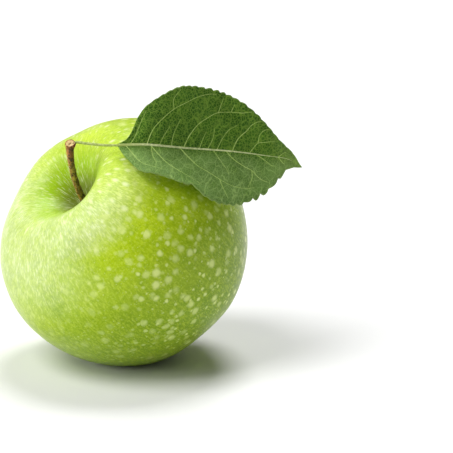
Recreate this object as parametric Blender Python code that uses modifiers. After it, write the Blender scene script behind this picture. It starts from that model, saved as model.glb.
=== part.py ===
"""A green apple, resting aslant, with its stem, one leaf and the dried calyx.

Metres, +Z up. The origin is the middle of the small flat spot that the fruit rests on. The fruit's own axis
leans towards the front left, so the stem cavity faces up and forward. Sizes below are in millimetres.
"""
import math

import bmesh
import bpy
from mathutils import Matrix, Vector

MM = 0.001
GAP = 0.3
CUTTER_REACH = 8.0
FLOOR_CUTTER_SIZE = 100.0

# The fruit's profile, measured along its own axis from the middle of the fruit
FRUIT_RADIUS = 39.8
STEM_END_HEIGHT = 33.3
STEM_END_FULLNESS = 1.93
CALYX_END_HEIGHT = 40.5
CALYX_END_FULLNESS = 2.16
CAVITY_DEPTH = 14.5
CAVITY_WIDTH = 11.9
CAVITY_STEEPNESS = 2.26
PIT_DEPTH = 2.8
PIT_WIDTH = 4.5
BASIN_DEPTH = 6.5
BASIN_WIDTH = 8.0

# Lobes: five low ones on the shoulders, five plainer ones round the basin, and one shoulder that sits lower
LOBES = 5
SHOULDER_LOBE = 0.5
SHOULDER_LOBE_ANGLE = math.radians(37)
LOW_SHOULDER = 0.5
FLANK_LOBE = 0.4
BASIN_LOBE = 1.3
BASIN_LOBE_RADIUS = 13.5
BASIN_LOBE_SPREAD = 6.5
CALYX_LOBE_ANGLE = math.radians(-40)

# How the fruit lies, and the flat spot it lies on
LEAN = math.radians(44.1)
LEAN_AZIMUTH = math.radians(-143.2)
FLAT_DEPTH = 0.8

# The mesh of the fruit: rings in the cavity, round the side and in the basin
SEGMENTS = 64
CAVITY_RINGS = 15
SIDE_RINGS = 20
BASIN_RINGS = 9
CAVITY_EDGE = math.radians(40)
BASIN_EDGE = math.radians(152)

# The stem, from the bottom of its socket to its cut end, in the fruit's resting frame
SOCKET_DEPTH = 3.0
STEM_ROUTE = [
    (-10.1, -7.9, 54.6), (-11.7, -10.3, 59.7), (-12.6, -12.2, 64.3), (-13.0, -13.9, 68.6),
    (-12.9, -15.8, 73.2),
]
STEM_RADII = [1.4, 1.15, 1.0, 0.98, 1.0, 1.08, 1.3]
STEM_POINTS = 19
STEM_SIDES_RESOLUTION = 3
SPUR_ALONG = 0.9
SPUR_RADIUS = 0.6
SPUR_REACH = 1.6
FOOT_LENGTH = 1.0

# The leaf: its stalk and midrib, in the same frame
LEAF_FACING = Vector((0.0, -0.970, 0.242))
STALK_ROUTE = [(-8.0, -15.8, 73.1), (-2.8, -16.4, 72.8), (1.7, -17.0, 72.8)]
MIDRIB_ROUTE = [
    (1.7, -17.0, 72.8), (10.5, -17.6, 73.0), (21.6, -13.9, 71.3), (36.2, -8.6, 69.2), (47.6, -5.0, 67.0),
    (53.7, -3.5, 65.7), (58.0, -3.0, 63.0),
]
STALK_RADII = [0.7, 0.4, 0.4, 0.5, 0.7]
MIDRIB_RADII = [0.7, 0.55, 0.45, 0.35]
STALK_STEPS = 10
RIB_STEPS = 16
MIDRIB_END = 0.93
MIDRIB_SINK = 0.35
BLADE_THICKNESS = 0.7

# Each half of the blade: place along the midrib, width there, and its rise towards the face in degrees
UPPER_HALF = [
    (0.00, 0.9, 8), (0.06, 2.8, 8), (0.12, 10.2, 9), (0.20, 15.0, 10), (0.30, 18.4, 10), (0.42, 18.9, 9),
    (0.55, 17.5, 7), (0.68, 13.7, 5), (0.80, 8.3, 3), (0.90, 3.2, 2), (0.96, 1.0, 0), (1.00, 0.0, 0),
]
LOWER_HALF = [
    (0.00, 0.9, 20), (0.05, 5.6, 40), (0.12, 11.2, 45), (0.22, 13.0, 48), (0.34, 15.6, 46), (0.44, 17.0, 38),
    (0.55, 18.1, 28), (0.66, 17.3, 21), (0.76, 14.2, 16), (0.86, 8.3, 12), (0.94, 2.6, 8), (1.00, 0.0, 0),
]
TEETH = 27
TOOTH_DEPTH = 0.45
TOOTH_LEAN = 0.35
TOOTH_FULL_WIDTH = 6.0
CELLS_ACROSS = 5
WAVE_HEIGHT = 0.9
WAVES = 3.2
WAVE_START = 1.1

# The dried calyx, on the fruit's own axis
CALYX_PIT_RADIUS = 3.8
CALYX_PIT_DEPTH = 1.4
CORE_HEIGHT = 1.5
CORE_SIDES = 20
CORE_RIM_RADIUS = 2.9
HUB_HEIGHT = 2.6
HUB_SLOPE = 0.35
SEPALS = 5
SEPAL_STEPS = 7
SEPAL_RING = 0.9
SEPAL_LENGTH = 6.2
SEPAL_WIDTH = 2.4
SEPAL_TIP_WIDTH = 0.5
SEPAL_THICKNESS = 0.7
SEPAL_ROOT_RADIUS = 2.35
SEPAL_HOLLOW = 0.35
SEPAL_LEAN = math.radians(42)
SEPAL_CURL = math.radians(78)
STAMEN_RING = 0.75
STAMEN_LENGTH = 3.0
STAMEN_TIP = 0.85
STAMEN_SPLAY = math.radians(10)


def clear_scene():
    """Remove what the scene holds."""
    for item in list(bpy.data.objects):
        bpy.data.objects.remove(item, do_unlink=True)


def make_collection(name):
    """A new collection, linked to the scene."""
    collection = bpy.data.collections.new(name)
    bpy.context.scene.collection.children.link(collection)
    return collection


def make_material(name, colour, roughness):
    """A plain finish with the given colour and roughness."""
    material = bpy.data.materials.new(name)
    material.use_nodes = True
    shader = material.node_tree.nodes["Principled BSDF"]
    shader.inputs["Base Color"].default_value = (*colour, 1.0)
    shader.inputs["Roughness"].default_value = roughness
    shader.inputs["Metallic"].default_value = 0.0
    return material


def add_object(name, mesh, collection, material=None):
    """An object of that mesh, smooth where it is round."""
    mesh.shade_smooth()
    mesh.set_sharp_from_angle(angle=math.radians(40))
    item = bpy.data.objects.new(name, mesh)
    if material is not None:
        mesh.materials.clear()
        mesh.materials.append(material)
    collection.objects.link(item)
    return item


def mesh_from_bmesh(bm, name):
    """Write a bmesh into a new mesh, in metres, and free it."""
    bmesh.ops.scale(bm, vec=(MM, MM, MM), verts=bm.verts)
    mesh = bpy.data.meshes.new(name)
    bm.to_mesh(mesh)
    bm.free()
    return mesh


def make_cutter(item):
    """Mark an object as a cutter or a joined piece that isn't part of the model itself."""
    item.hide_render = True
    item.display_type = "WIRE"


def add_boolean(item, other, operation):
    """Cut another object out of an object, or join the two."""
    modifier = item.modifiers.new(f"{operation.title()} {other.name}", "BOOLEAN")
    modifier.operation = operation
    modifier.solver = "EXACT"
    modifier.object = other
    return modifier


def spread(values, place):
    """Read a short row of values at a place from 0 to 1, straight from one to the next."""
    along = place * (len(values) - 1)
    index = min(int(along), len(values) - 2)
    return values[index] + (values[index + 1] - values[index]) * (along - index)


def smooth_value(rows, place, column):
    """Read a column of a table whose first column is the place, on a smooth curve through its rows."""
    index = 0
    while index < len(rows) - 2 and place > rows[index + 1][0]:
        index += 1
    first, last = rows[index], rows[index + 1]
    before = rows[max(index - 1, 0)]
    after = rows[min(index + 2, len(rows) - 1)]
    width = last[0] - first[0]
    part = (place - first[0]) / width
    start = (last[column] - before[column]) / (last[0] - before[0]) * width
    end = (after[column] - first[column]) / (after[0] - first[0]) * width
    square, cube = part * part, part * part * part
    return ((2 * cube - 3 * square + 1) * first[column] + (cube - 2 * square + part) * start
            + (3 * square - 2 * cube) * last[column] + (cube - square) * end)


def route_rows(points):
    """A route's points as rows of the share of its length and the place, for smooth_value."""
    places = [0.0]
    for one, other in zip(points, points[1:]):
        places.append(places[-1] + (Vector(other) - Vector(one)).length)
    return [(place / places[-1], *point) for place, point in zip(places, points)]


def route_point(rows, place):
    """The point at a share of a route's length."""
    return Vector([smooth_value(rows, place, column) for column in (1, 2, 3)])


def profile_point(angle):
    """The fruit's radius and height at an angle from the stem end's pole."""
    upper = angle <= math.pi / 2
    height = STEM_END_HEIGHT if upper else -CALYX_END_HEIGHT
    fullness = STEM_END_FULLNESS if upper else CALYX_END_FULLNESS
    sine = abs(math.sin(angle))
    cosine = abs(math.cos(angle))
    reach = (sine ** fullness + cosine ** fullness) ** (-1 / fullness)
    radius = FRUIT_RADIUS * sine * reach
    level = height * cosine * reach
    if upper:
        level -= CAVITY_DEPTH * math.exp(-((radius / CAVITY_WIDTH) ** CAVITY_STEEPNESS))
        level -= PIT_DEPTH * math.exp(-((radius / PIT_WIDTH) ** 2))
    else:
        level += BASIN_DEPTH * math.exp(-((radius / BASIN_WIDTH) ** 2))
    return radius, level


def lobe_lift(angle, turn, radius):
    """How far the lobes raise the skin along the axis, at an angle from the pole and a turn round it."""
    weight = math.sin(2 * angle) ** 2
    if angle <= math.pi / 2:
        lobes = SHOULDER_LOBE * math.cos(LOBES * (turn - SHOULDER_LOBE_ANGLE))
        return weight * (lobes - LOW_SHOULDER * math.cos(turn))
    wave = math.cos(LOBES * (turn - CALYX_LOBE_ANGLE))
    near_basin = math.exp(-(((radius - BASIN_LOBE_RADIUS) / BASIN_LOBE_SPREAD) ** 2))
    return -wave * (FLANK_LOBE * weight + BASIN_LOBE * near_basin)


def ring_angles():
    """The angles of the fruit's rings, from pole to pole."""
    stretches = [
        (0.0, CAVITY_EDGE, CAVITY_RINGS),
        (CAVITY_EDGE, BASIN_EDGE, SIDE_RINGS),
        (BASIN_EDGE, math.pi, BASIN_RINGS),
    ]
    angles = [low + (high - low) * step / count for low, high, count in stretches for step in range(count)]
    return angles + [math.pi]


def make_fruit_mesh():
    """The fruit on its own axis: a profile spun round it, then lobed."""
    bm = bmesh.new()
    profile = []
    for angle in ring_angles():
        radius, level = profile_point(angle)
        profile.append(bm.verts.new((radius, 0.0, level)))
    profile[0].co.x = 0.0
    profile[-1].co.x = 0.0
    edges = [bm.edges.new(pair) for pair in zip(profile, profile[1:])]
    bmesh.ops.spin(bm, geom=profile + edges, cent=(0, 0, 0), axis=(0, 0, 1), angle=2 * math.pi,
                   steps=SEGMENTS, use_merge=True)
    bmesh.ops.remove_doubles(bm, verts=bm.verts, dist=0.001)
    rings = [(profile_point(angle), angle) for angle in ring_angles()]
    for vert in bm.verts:
        radius = math.hypot(vert.co.x, vert.co.y)
        ring = min(rings, key=lambda row: math.hypot(row[0][0] - radius, row[0][1] - vert.co.z))
        vert.co.z += lobe_lift(ring[1], math.atan2(vert.co.y, vert.co.x), radius)
    bmesh.ops.recalc_face_normals(bm, faces=bm.faces)
    return mesh_from_bmesh(bm, "fruit")


def resting_matrix(mesh):
    """Lean the fruit over and lift it, so that its flat spot is in the middle of the plane z = 0."""
    lean = Matrix.Rotation(LEAN_AZIMUTH, 4, "Z") @ Matrix.Rotation(LEAN, 4, "Y")
    lowest = min((lean @ vert.co for vert in mesh.vertices), key=lambda point: point.z)
    return Matrix.Translation(-lowest - Vector((0, 0, FLAT_DEPTH * MM))) @ lean


def add_cylinder(name, radius, low, high, collection, vertices=24):
    """An upright cylinder on the axis between two heights, in millimetres."""
    bpy.ops.mesh.primitive_cylinder_add(vertices=vertices, radius=radius * MM, depth=(high - low) * MM,
                                        location=(0, 0, (low + high) / 2 * MM))
    item = bpy.context.object
    item.name = name
    for old in list(item.users_collection):
        old.objects.unlink(item)
    collection.objects.link(item)
    make_cutter(item)
    return item


def make_tube(name, points, radii, resolution, collection):
    """A mesh tube through points, with closed ends, from a bevelled curve."""
    curve = bpy.data.curves.new(name, "CURVE")
    curve.dimensions = "3D"
    curve.bevel_depth = MM
    curve.bevel_resolution = resolution
    curve.use_fill_caps = True
    spline = curve.splines.new("POLY")
    spline.points.add(len(points) - 1)
    for index, point in enumerate(points):
        spline.points[index].co = (*(Vector(point) * MM), 1.0)
        spline.points[index].radius = spread(radii, index / (len(points) - 1))
    guide = bpy.data.objects.new(f"{name} guide", curve)
    collection.objects.link(guide)
    evaluated = guide.evaluated_get(bpy.context.evaluated_depsgraph_get())
    mesh = bpy.data.meshes.new_from_object(evaluated)
    bpy.data.objects.remove(guide, do_unlink=True)
    bm = bmesh.new()
    bm.from_mesh(mesh)
    bmesh.ops.remove_doubles(bm, verts=bm.verts, dist=0.000001)
    bmesh.ops.recalc_face_normals(bm, faces=bm.faces)
    bm.to_mesh(mesh)
    bm.free()
    return mesh


def stem_points(resting):
    """The stem's route, from inside its socket along the fruit's axis to its cut end."""
    bottom = profile_point(0.0)[1]
    low = bottom - SOCKET_DEPTH + GAP
    inside = [resting @ (Vector((0, 0, level)) * MM) / MM for level in (low, bottom)]
    rows = route_rows([tuple(point) for point in inside] + STEM_ROUTE)
    return [route_point(rows, step / (STEM_POINTS - 1)) for step in range(STEM_POINTS)]


def spur_direction(stem_end, stem_direction):
    """The way from the stem's side towards the leaf's stalk."""
    towards = Vector(STALK_ROUTE[0]) - stem_end
    return (towards - stem_direction * towards.dot(stem_direction)).normalized()


def make_stem(points, parts, cutters, material):
    """The stem and its spur, which carries the leaf. Returns the first two points of the leaf's stalk."""
    mesh = make_tube("stem", points, STEM_RADII, STEM_SIDES_RESOLUTION, cutters)
    stem = add_object("stem", mesh, parts, material)
    direction = (points[-1] - points[-2]).normalized()
    root = points[-1] - direction * SPUR_ALONG
    side = spur_direction(root, direction)
    spur_mesh = make_tube("spur", [root, root + side * SPUR_REACH], [SPUR_RADIUS, SPUR_RADIUS], 2, cutters)
    spur = add_object("spur", spur_mesh, cutters)
    make_cutter(spur)
    add_boolean(stem, spur, "UNION")
    foot = root + side * (SPUR_REACH + GAP)
    return [tuple(foot), tuple(foot + side * FOOT_LENGTH)]


def blade_point(midrib, place, across):
    """A point of the blade and its tooth: place runs from foot to tip, across is -1 and 1 at the margins."""
    centre = route_point(midrib, place)
    before = route_point(midrib, max(place - 0.01, 0.0))
    after = route_point(midrib, min(place + 0.01, 1.0))
    ahead = (after - before).normalized()
    side = LEAF_FACING.cross(ahead).normalized()
    half = UPPER_HALF if across > 0 else LOWER_HALF
    if across < 0:
        side = -side
    width = max(smooth_value(half, place, 1), 0.0)
    distance = abs(across) * width
    rise = math.radians(smooth_value(half, place, 2))
    phase = 2 * math.pi * (WAVES * place + WAVE_START * across)
    wave = WAVE_HEIGHT * across ** 2 * math.sin(math.pi * place) * math.sin(phase)
    point = centre + side * (distance * math.cos(rise)) + LEAF_FACING * (distance * math.sin(rise) + wave)
    tooth = min(width / TOOTH_FULL_WIDTH, 1.0)
    return point, side * (TOOTH_DEPTH * tooth) + ahead * (TOOTH_LEAN * tooth)


def make_leaf(foot, parts, cutters, material):
    """The leaf: a toothed, folded and waved blade, with its midrib and stalk joined to it."""
    midrib = route_rows(MIDRIB_ROUTE)
    bm = bmesh.new()
    bmesh.ops.create_grid(bm, x_segments=2 * TEETH, y_segments=2 * CELLS_ACROSS, size=0.5)
    for vert in bm.verts:
        column = round((vert.co.x + 0.5) * 2 * TEETH)
        across = vert.co.y * 2
        point, tooth = blade_point(midrib, column / (2 * TEETH), across)
        if abs(across) > 0.999 and column % 2 == 1:
            point += tooth
        vert.co = point
    bmesh.ops.remove_doubles(bm, verts=bm.verts, dist=0.05)
    bmesh.ops.triangulate(bm, faces=bm.faces)
    bmesh.ops.recalc_face_normals(bm, faces=bm.faces)
    leaf = add_object("leaf", mesh_from_bmesh(bm, "leaf"), parts, material)
    thickness = leaf.modifiers.new("Blade", "SOLIDIFY")
    thickness.thickness = BLADE_THICKNESS * MM
    thickness.offset = 0.0
    sunk = LEAF_FACING * MIDRIB_SINK
    stalk_rows = route_rows(foot + STALK_ROUTE)
    stalk_places = [step / STALK_STEPS for step in range(STALK_STEPS + 1)]
    rib_places = [step / RIB_STEPS for step in range(1, RIB_STEPS + 1)]
    stalk = [route_point(stalk_rows, place) - sunk * place for place in stalk_places]
    rib = [route_point(midrib, MIDRIB_END * place) - sunk for place in rib_places]
    radii = [spread(STALK_RADII, place) for place in stalk_places]
    radii += [spread(MIDRIB_RADII, place) for place in rib_places]
    rib_object = add_object("midrib", make_tube("midrib", stalk + rib, radii, 2, cutters), cutters)
    make_cutter(rib_object)
    add_boolean(leaf, rib_object, "UNION")
    return leaf


def turn_of_face(face):
    """Where a face is, as an angle round the Z axis."""
    middle = face.calc_center_median()
    return math.atan2(middle.y, middle.x)


def sepal_point(place, across, through):
    """A point of a withered sepal that leans out and curls back in, at a share of its length."""
    lean = SEPAL_LEAN - SEPAL_CURL * place
    out = SEPAL_ROOT_RADIUS + SEPAL_LENGTH * (math.cos(lean) - math.cos(SEPAL_LEAN)) / SEPAL_CURL
    down = CORE_HEIGHT + SEPAL_LENGTH * (math.sin(SEPAL_LEAN) - math.sin(lean)) / SEPAL_CURL
    width = (SEPAL_WIDTH * (1 - place ** 2) + SEPAL_TIP_WIDTH) / 2
    shift = through * SEPAL_THICKNESS / 2 - SEPAL_HOLLOW * across ** 2
    return Vector((out + shift * math.cos(lean), across * width, -down + shift * math.sin(lean)))


def grow_sepal(bm, root, turn, across_layer, through_layer):
    """Draw one sepal out of two neighbouring faces of the core's rim."""
    aim = Vector((math.cos(turn), math.sin(turn), 0))
    middle_radius = sum(math.hypot(vert.co.x, vert.co.y) for face in root for vert in face.verts) / 8
    for vert in {vert for face in root for vert in face.verts}:
        vert[across_layer] = round((aim.x * vert.co.y - aim.y * vert.co.x) * 2)
        vert[across_layer] = min(max(vert[across_layer], -1), 1)
        vert[through_layer] = 1 if math.hypot(vert.co.x, vert.co.y) > middle_radius else -1
    faces = root
    for step in range(1, SEPAL_STEPS + 1):
        edges = {edge for face in faces for edge in face.edges}
        drawn = bmesh.ops.extrude_face_region(bm, geom=faces + list(edges))["geom"]
        faces = [item for item in drawn if isinstance(item, bmesh.types.BMFace)]
        for vert in {vert for face in faces for vert in face.verts}:
            point = sepal_point(step / SEPAL_STEPS, vert[across_layer], vert[through_layer])
            vert.co = Matrix.Rotation(turn, 3, "Z") @ point


def grow_stamen(bm, root):
    """Draw one dried stamen out of a face of the hub, leaning out and narrowing."""
    middle = root.calc_center_median()
    ahead = Matrix.Rotation(STAMEN_SPLAY, 3, Vector((middle.y, -middle.x, 0))) @ Vector((0, 0, -1))
    face = bmesh.ops.extrude_discrete_faces(bm, faces=[root])["faces"][0]
    bmesh.ops.translate(bm, verts=face.verts, vec=ahead * STAMEN_LENGTH)
    tip = Matrix.Translation(-face.calc_center_median())
    bmesh.ops.scale(bm, vec=(STAMEN_TIP, STAMEN_TIP, STAMEN_TIP), space=tip, verts=face.verts)


def make_calyx(resting, parts, material):
    """The dried calyx: a core in the basin's pit, with sepals and a tuft of stamens drawn out of it."""
    pit_floor = profile_point(math.pi)[1] + CALYX_PIT_DEPTH
    bm = bmesh.new()
    across_layer = bm.verts.layers.float.new("across")
    through_layer = bm.verts.layers.float.new("through")
    bmesh.ops.create_cone(bm, cap_ends=True, segments=CORE_SIDES, radius1=CORE_RIM_RADIUS, depth=CORE_HEIGHT,
                          radius2=CALYX_PIT_RADIUS - GAP)
    bmesh.ops.translate(bm, verts=bm.verts, vec=(0, 0, -CORE_HEIGHT / 2))
    open_end = min(bm.faces, key=lambda face: face.calc_center_median().z)
    rim = bmesh.ops.inset_individual(bm, faces=[open_end], thickness=SEPAL_RING)["faces"]
    bmesh.ops.inset_individual(bm, faces=[open_end], thickness=HUB_SLOPE, depth=HUB_HEIGHT - CORE_HEIGHT)
    tuft = bmesh.ops.inset_individual(bm, faces=[open_end], thickness=STAMEN_RING)["faces"]
    rim = sorted(rim, key=turn_of_face)
    tuft = sorted(tuft, key=turn_of_face)
    for number in range(SEPALS):
        first = number * CORE_SIDES // SEPALS
        root = [rim[first], rim[first + 1]]
        turn = -math.pi + 2 * math.pi * (first + 1) / CORE_SIDES
        grow_sepal(bm, root, turn, across_layer, through_layer)
    for root in tuft[::2]:
        grow_stamen(bm, root)
    bmesh.ops.triangulate(bm, faces=bm.faces)
    bmesh.ops.recalc_face_normals(bm, faces=bm.faces)
    calyx = add_object("calyx", mesh_from_bmesh(bm, "calyx"), parts, material)
    turned = Matrix.Rotation(CALYX_LOBE_ANGLE, 4, "Z")
    calyx.matrix_world = resting @ Matrix.Translation((0, 0, (pit_floor - GAP) * MM)) @ turned
    return pit_floor


def main():
    """Build the apple."""
    clear_scene()
    parts = make_collection("green apple")
    cutters = make_collection("cutters")
    skin = make_material("skin", (0.30, 0.52, 0.03), 0.35)
    bark = make_material("bark", (0.16, 0.08, 0.03), 0.75)
    green = make_material("leaf green", (0.05, 0.16, 0.03), 0.5)
    dry = make_material("dried calyx", (0.10, 0.07, 0.04), 0.9)

    fruit_mesh = make_fruit_mesh()
    resting = resting_matrix(fruit_mesh)
    fruit = add_object("fruit", fruit_mesh, parts, skin)
    fruit.matrix_world = resting

    cavity_bottom = profile_point(0.0)[1]
    socket = add_cylinder("stem socket", STEM_RADII[0] + GAP, cavity_bottom - SOCKET_DEPTH,
                          cavity_bottom + CUTTER_REACH, cutters)
    socket.matrix_world = resting @ socket.matrix_world
    add_boolean(fruit, socket, "DIFFERENCE")

    pit_floor = make_calyx(resting, parts, dry)
    pit = add_cylinder("calyx pit", CALYX_PIT_RADIUS, pit_floor - CUTTER_REACH, pit_floor, cutters)
    pit.matrix_world = resting @ pit.matrix_world
    add_boolean(fruit, pit, "DIFFERENCE")

    bpy.ops.mesh.primitive_cube_add(size=FLOOR_CUTTER_SIZE * MM, location=(0, 0, -FLOOR_CUTTER_SIZE / 2 * MM))
    floor = bpy.context.object
    floor.name = "flat spot"
    for old in list(floor.users_collection):
        old.objects.unlink(floor)
    cutters.objects.link(floor)
    make_cutter(floor)
    add_boolean(fruit, floor, "DIFFERENCE")

    foot = make_stem(stem_points(resting), parts, cutters, bark)
    make_leaf(foot, parts, cutters, green)


main()
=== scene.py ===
"""Looks of a green apple that rests aslant on a pale floor, with its stem, one leaf and its dried calyx.

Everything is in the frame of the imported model: metres, +Z up, the origin in the middle of the flat spot under
the fruit. Sizes are named in millimetres and turned into metres as each mesh is finished.
"""
from __future__ import annotations

import logging
import math
import random
from dataclasses import dataclass, field
from enum import Enum
from functools import cached_property
from typing import Callable, Iterable, Mapping, Sequence, Union

import bmesh
import bpy
from mathutils import Matrix, Vector, noise
from mathutils.kdtree import KDTree


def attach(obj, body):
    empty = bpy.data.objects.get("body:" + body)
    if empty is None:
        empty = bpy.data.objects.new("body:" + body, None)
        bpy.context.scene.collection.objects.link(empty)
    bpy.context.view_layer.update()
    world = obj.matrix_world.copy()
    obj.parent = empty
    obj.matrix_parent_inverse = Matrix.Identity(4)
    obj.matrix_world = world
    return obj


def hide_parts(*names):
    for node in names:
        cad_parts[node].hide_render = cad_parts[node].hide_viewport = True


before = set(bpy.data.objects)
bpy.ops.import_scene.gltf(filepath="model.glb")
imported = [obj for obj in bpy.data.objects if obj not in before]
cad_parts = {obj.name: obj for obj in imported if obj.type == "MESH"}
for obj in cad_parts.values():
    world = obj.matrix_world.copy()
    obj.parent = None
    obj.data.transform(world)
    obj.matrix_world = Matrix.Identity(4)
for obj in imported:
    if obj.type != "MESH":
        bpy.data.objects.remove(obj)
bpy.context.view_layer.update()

MM = 0.001
ROOT = "root"
TURN = 2 * math.pi
SEAM_WELD = 0.002
THREAD_WELD = 0.0001
LOG = logging.getLogger("green apple")

Spot = tuple[float, float, float]
Colour = tuple[float, float, float]
Thread = list[tuple[Vector, float]]
Socket = bpy.types.NodeSocket
Outputs = bpy.types.NodeOutputs
Feed = Union[Socket, float, Sequence[float]]
Inputs = Union[Mapping[Union[str, int], Feed], None]
Written = tuple[Feed, Feed, Feed]

# The values at which a fade starts and ends, and what it goes from and to where that isn't 0 to 1.
Fade = tuple[float, ...]
# An effect's values, in its own order.
Pattern = tuple[float, ...]


class Slot(Enum):
    """The record's material slots."""

    SKIN = "skin"
    BARK = "bark"
    LEAF = "leaf_blade"
    CALYX = "dried_calyx"


class Node(Enum):
    """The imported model's nodes."""

    FRUIT = "fruit"
    STEM = "stem"
    LEAF = "leaf"
    CALYX = "calyx"


def smooth(value: float) -> float:
    """Ease a value between 0 and 1 at both ends."""
    value = min(max(value, 0.0), 1.0)
    return value * value * (3 - 2 * value)


@dataclass(frozen=True)
class Table:
    """Rows that are read on a smooth curve. The first column is the place, and it only rises."""

    rows: tuple[tuple[float, ...], ...]

    @classmethod
    def even(cls, values: Sequence[float]) -> Table:
        """A table of values at even steps from 0 to 1."""
        return cls(tuple((index / (len(values) - 1), value) for index, value in enumerate(values)))

    def at(self, place: float, column: int = 1) -> float:
        """Read one column.

        Args:
            place: where to read, in the first column's terms.
            column: which column to read.

        Returns:
            The value there.
        """
        rows = self.rows
        index = 0
        while index < len(rows) - 2 and place > rows[index + 1][0]:
            index += 1
        first, last = rows[index], rows[index + 1]
        before, after = rows[max(index - 1, 0)], rows[min(index + 2, len(rows) - 1)]
        width = last[0] - first[0]
        part = (place - first[0]) / width
        start = (last[column] - before[column]) / (last[0] - before[0]) * width
        end = (after[column] - first[column]) / (after[0] - first[0]) * width
        square, cube = part * part, part * part * part
        rise = (2 * cube - 3 * square + 1) * first[column] + (cube - 2 * square + part) * start
        return rise + (3 * square - 2 * cube) * last[column] + (cube - square) * end


@dataclass(frozen=True)
class Route:
    """A smooth line through a few points, read by the share of its length."""

    points: tuple[tuple[float, ...], ...]

    @cached_property
    def places(self) -> list[float]:
        """How far along each point is, in the points' own unit."""
        places = [0.0]
        for one, other in zip(self.points, self.points[1:]):
            places.append(places[-1] + math.dist(one, other))
        return places

    @cached_property
    def table(self) -> Table:
        """The points as a table of share and place."""
        whole = self.places[-1]
        return Table(tuple((place / whole, *point) for place, point in zip(self.places, self.points)))

    def at(self, share: float) -> Vector:
        """The point at a share of the length."""
        return Vector([self.table.at(share, column + 1) for column in range(len(self.points[0]))])

    def ahead(self, share: float) -> Vector:
        """The direction of travel at a share of the length."""
        return (self.at(min(share + 0.01, 1.0)) - self.at(max(share - 0.01, 0.0))).normalized()


class Graph:
    """Writes nodes into a material's or a group's tree."""

    def __init__(self, tree: bpy.types.NodeTree) -> None:
        """Keep the tree to write into."""
        self.tree = tree

    def feed(self, socket: Socket, value: Feed) -> None:
        """Link an output into a socket, or set the socket's own value.

        Args:
            socket: the input to fill.
            value: an output, a number, or a colour or vector.
        """
        if isinstance(value, Socket):
            self.tree.links.new(value, socket)
        elif isinstance(value, (int, float)):
            socket.default_value = value
        else:
            wanted = len(socket.default_value)
            socket.default_value = (*value, 1.0)[:wanted]

    def add(self, kind: str, inputs: Inputs = None, **settings: object) -> bpy.types.Node:
        """Add a node with its own settings, and fill its inputs.

        Args:
            kind: the node's type.
            inputs: what goes into each input, by its name or its index.
            settings: the node's own settings.

        Returns:
            The new node.
        """
        node = self.tree.nodes.new(kind)
        for name, value in settings.items():
            setattr(node, name, value)
        for socket, value in (inputs or {}).items():
            self.feed(node.inputs[socket], value)
        return node

    def math(self, operation: str, *values: Feed) -> Feed:
        """Join two or more values by one operation, from left to right.

        Args:
            operation: the calculation.
            values: what it joins.

        Returns:
            The result's socket.
        """
        joined = values[0]
        for value in values[1:]:
            joined = self.add("ShaderNodeMath", {0: joined, 1: value}, operation=operation).outputs[0]
        return joined

    def times(self, *values: Feed) -> Feed:
        """The product of the values."""
        return self.math("MULTIPLY", *values)

    def mix(self, under: Feed, over: Feed, *shares: Feed) -> Socket:
        """Lay one colour over another.

        Args:
            under: the colour beneath.
            over: the colour on top.
            shares: how much of the top one shows. They are multiplied.

        Returns:
            The mixed colour's socket.
        """
        node = self.add("ShaderNodeMix", data_type="RGBA")
        for index, item in ((0, self.times(*shares)), (6, under), (7, over)):
            self.feed(node.inputs[index], item)
        return node.outputs[2]

    def layers(self, ground: Feed, *coats: Sequence[Feed]) -> Feed:
        """Lay coats of colour over a ground.

        Args:
            ground: the colour beneath them all.
            coats: the coats in their order, each as its colour and its shares.

        Returns:
            The finished colour's socket.
        """
        for over, *shares in coats:
            ground = self.mix(ground, over, *shares)
        return ground

    def ramp(self, value: Feed, low: Feed, high: Feed, start: float = 0.0, end: float = 1.0) -> Socket:
        """Ease a value from start to end while it goes from low to high.

        Args:
            value: what is read.
            low: the value at which the result is start.
            high: the value at which the result is end.
            start: the result at and before low.
            end: the result at and after high.

        Returns:
            The eased value's socket.
        """
        given = dict(enumerate((value, low, high, start, end)))
        return self.add("ShaderNodeMapRange", given, interpolation_type="SMOOTHSTEP").outputs[0]

    def spread(self, mask: Feed, start: float, end: float) -> Socket:
        """A mask that goes from start to end in place of 0 to 1."""
        return self.ramp(mask, 0.0, 1.0, start, end)

    def attribute(self, name: str, kind: str = "Fac") -> Socket:
        """A value that the mesh carries."""
        return self.add("ShaderNodeAttribute", attribute_name=name).outputs[kind]

    def place(self, source: Feed, scale: Spot = (1, 1, 1), move: Spot = (0, 0, 0)) -> Socket:
        """Scale and move a pattern's coordinates."""
        return self.add("ShaderNodeMapping", {"Vector": source, "Location": move, "Scale": scale}).outputs[0]

    def shift(self, source: Feed, way: Feed) -> Socket:
        """The sum of two vectors."""
        return self.add("ShaderNodeVectorMath", {0: source, 1: way}, operation="ADD").outputs[0]

    def in_mm(self) -> Socket:
        """The Object coordinates, in millimetres."""
        return self.place(self.add("ShaderNodeTexCoord").outputs["Object"], (1 / MM, 1 / MM, 1 / MM))

    def split(self, source: Feed) -> Outputs:
        """A vector's three numbers."""
        return self.add("ShaderNodeSeparateXYZ", {0: source}).outputs

    def group(self, effect: Effect, source: Feed, values: Sequence[Feed]) -> Outputs:
        """Place a shared effect.

        Args:
            effect: the effect.
            source: the vector that it reads.
            values: its values, in the effect's own order.

        Returns:
            Its outputs.
        """
        given = {"Vector": source, **dict(zip(effect.values, values))}
        return self.add("ShaderNodeGroup", given, node_tree=effect.tree).outputs

    def cloud(self, source: Feed, pattern: Pattern) -> Socket:
        """Cloudy variation, by its scale, detail, low and high."""
        return self.group(MOTTLE, source, pattern)[0]

    def scatter(self, source: Feed, pattern: Pattern) -> Outputs:
        """Soft spots, by their scale, radius, softness and share."""
        return self.group(SPOTS, source, pattern)

    def net(self, source: Feed, pattern: Pattern) -> Outputs:
        """A net, by its scale, width and bend."""
        return self.group(NET, source, pattern)


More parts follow.
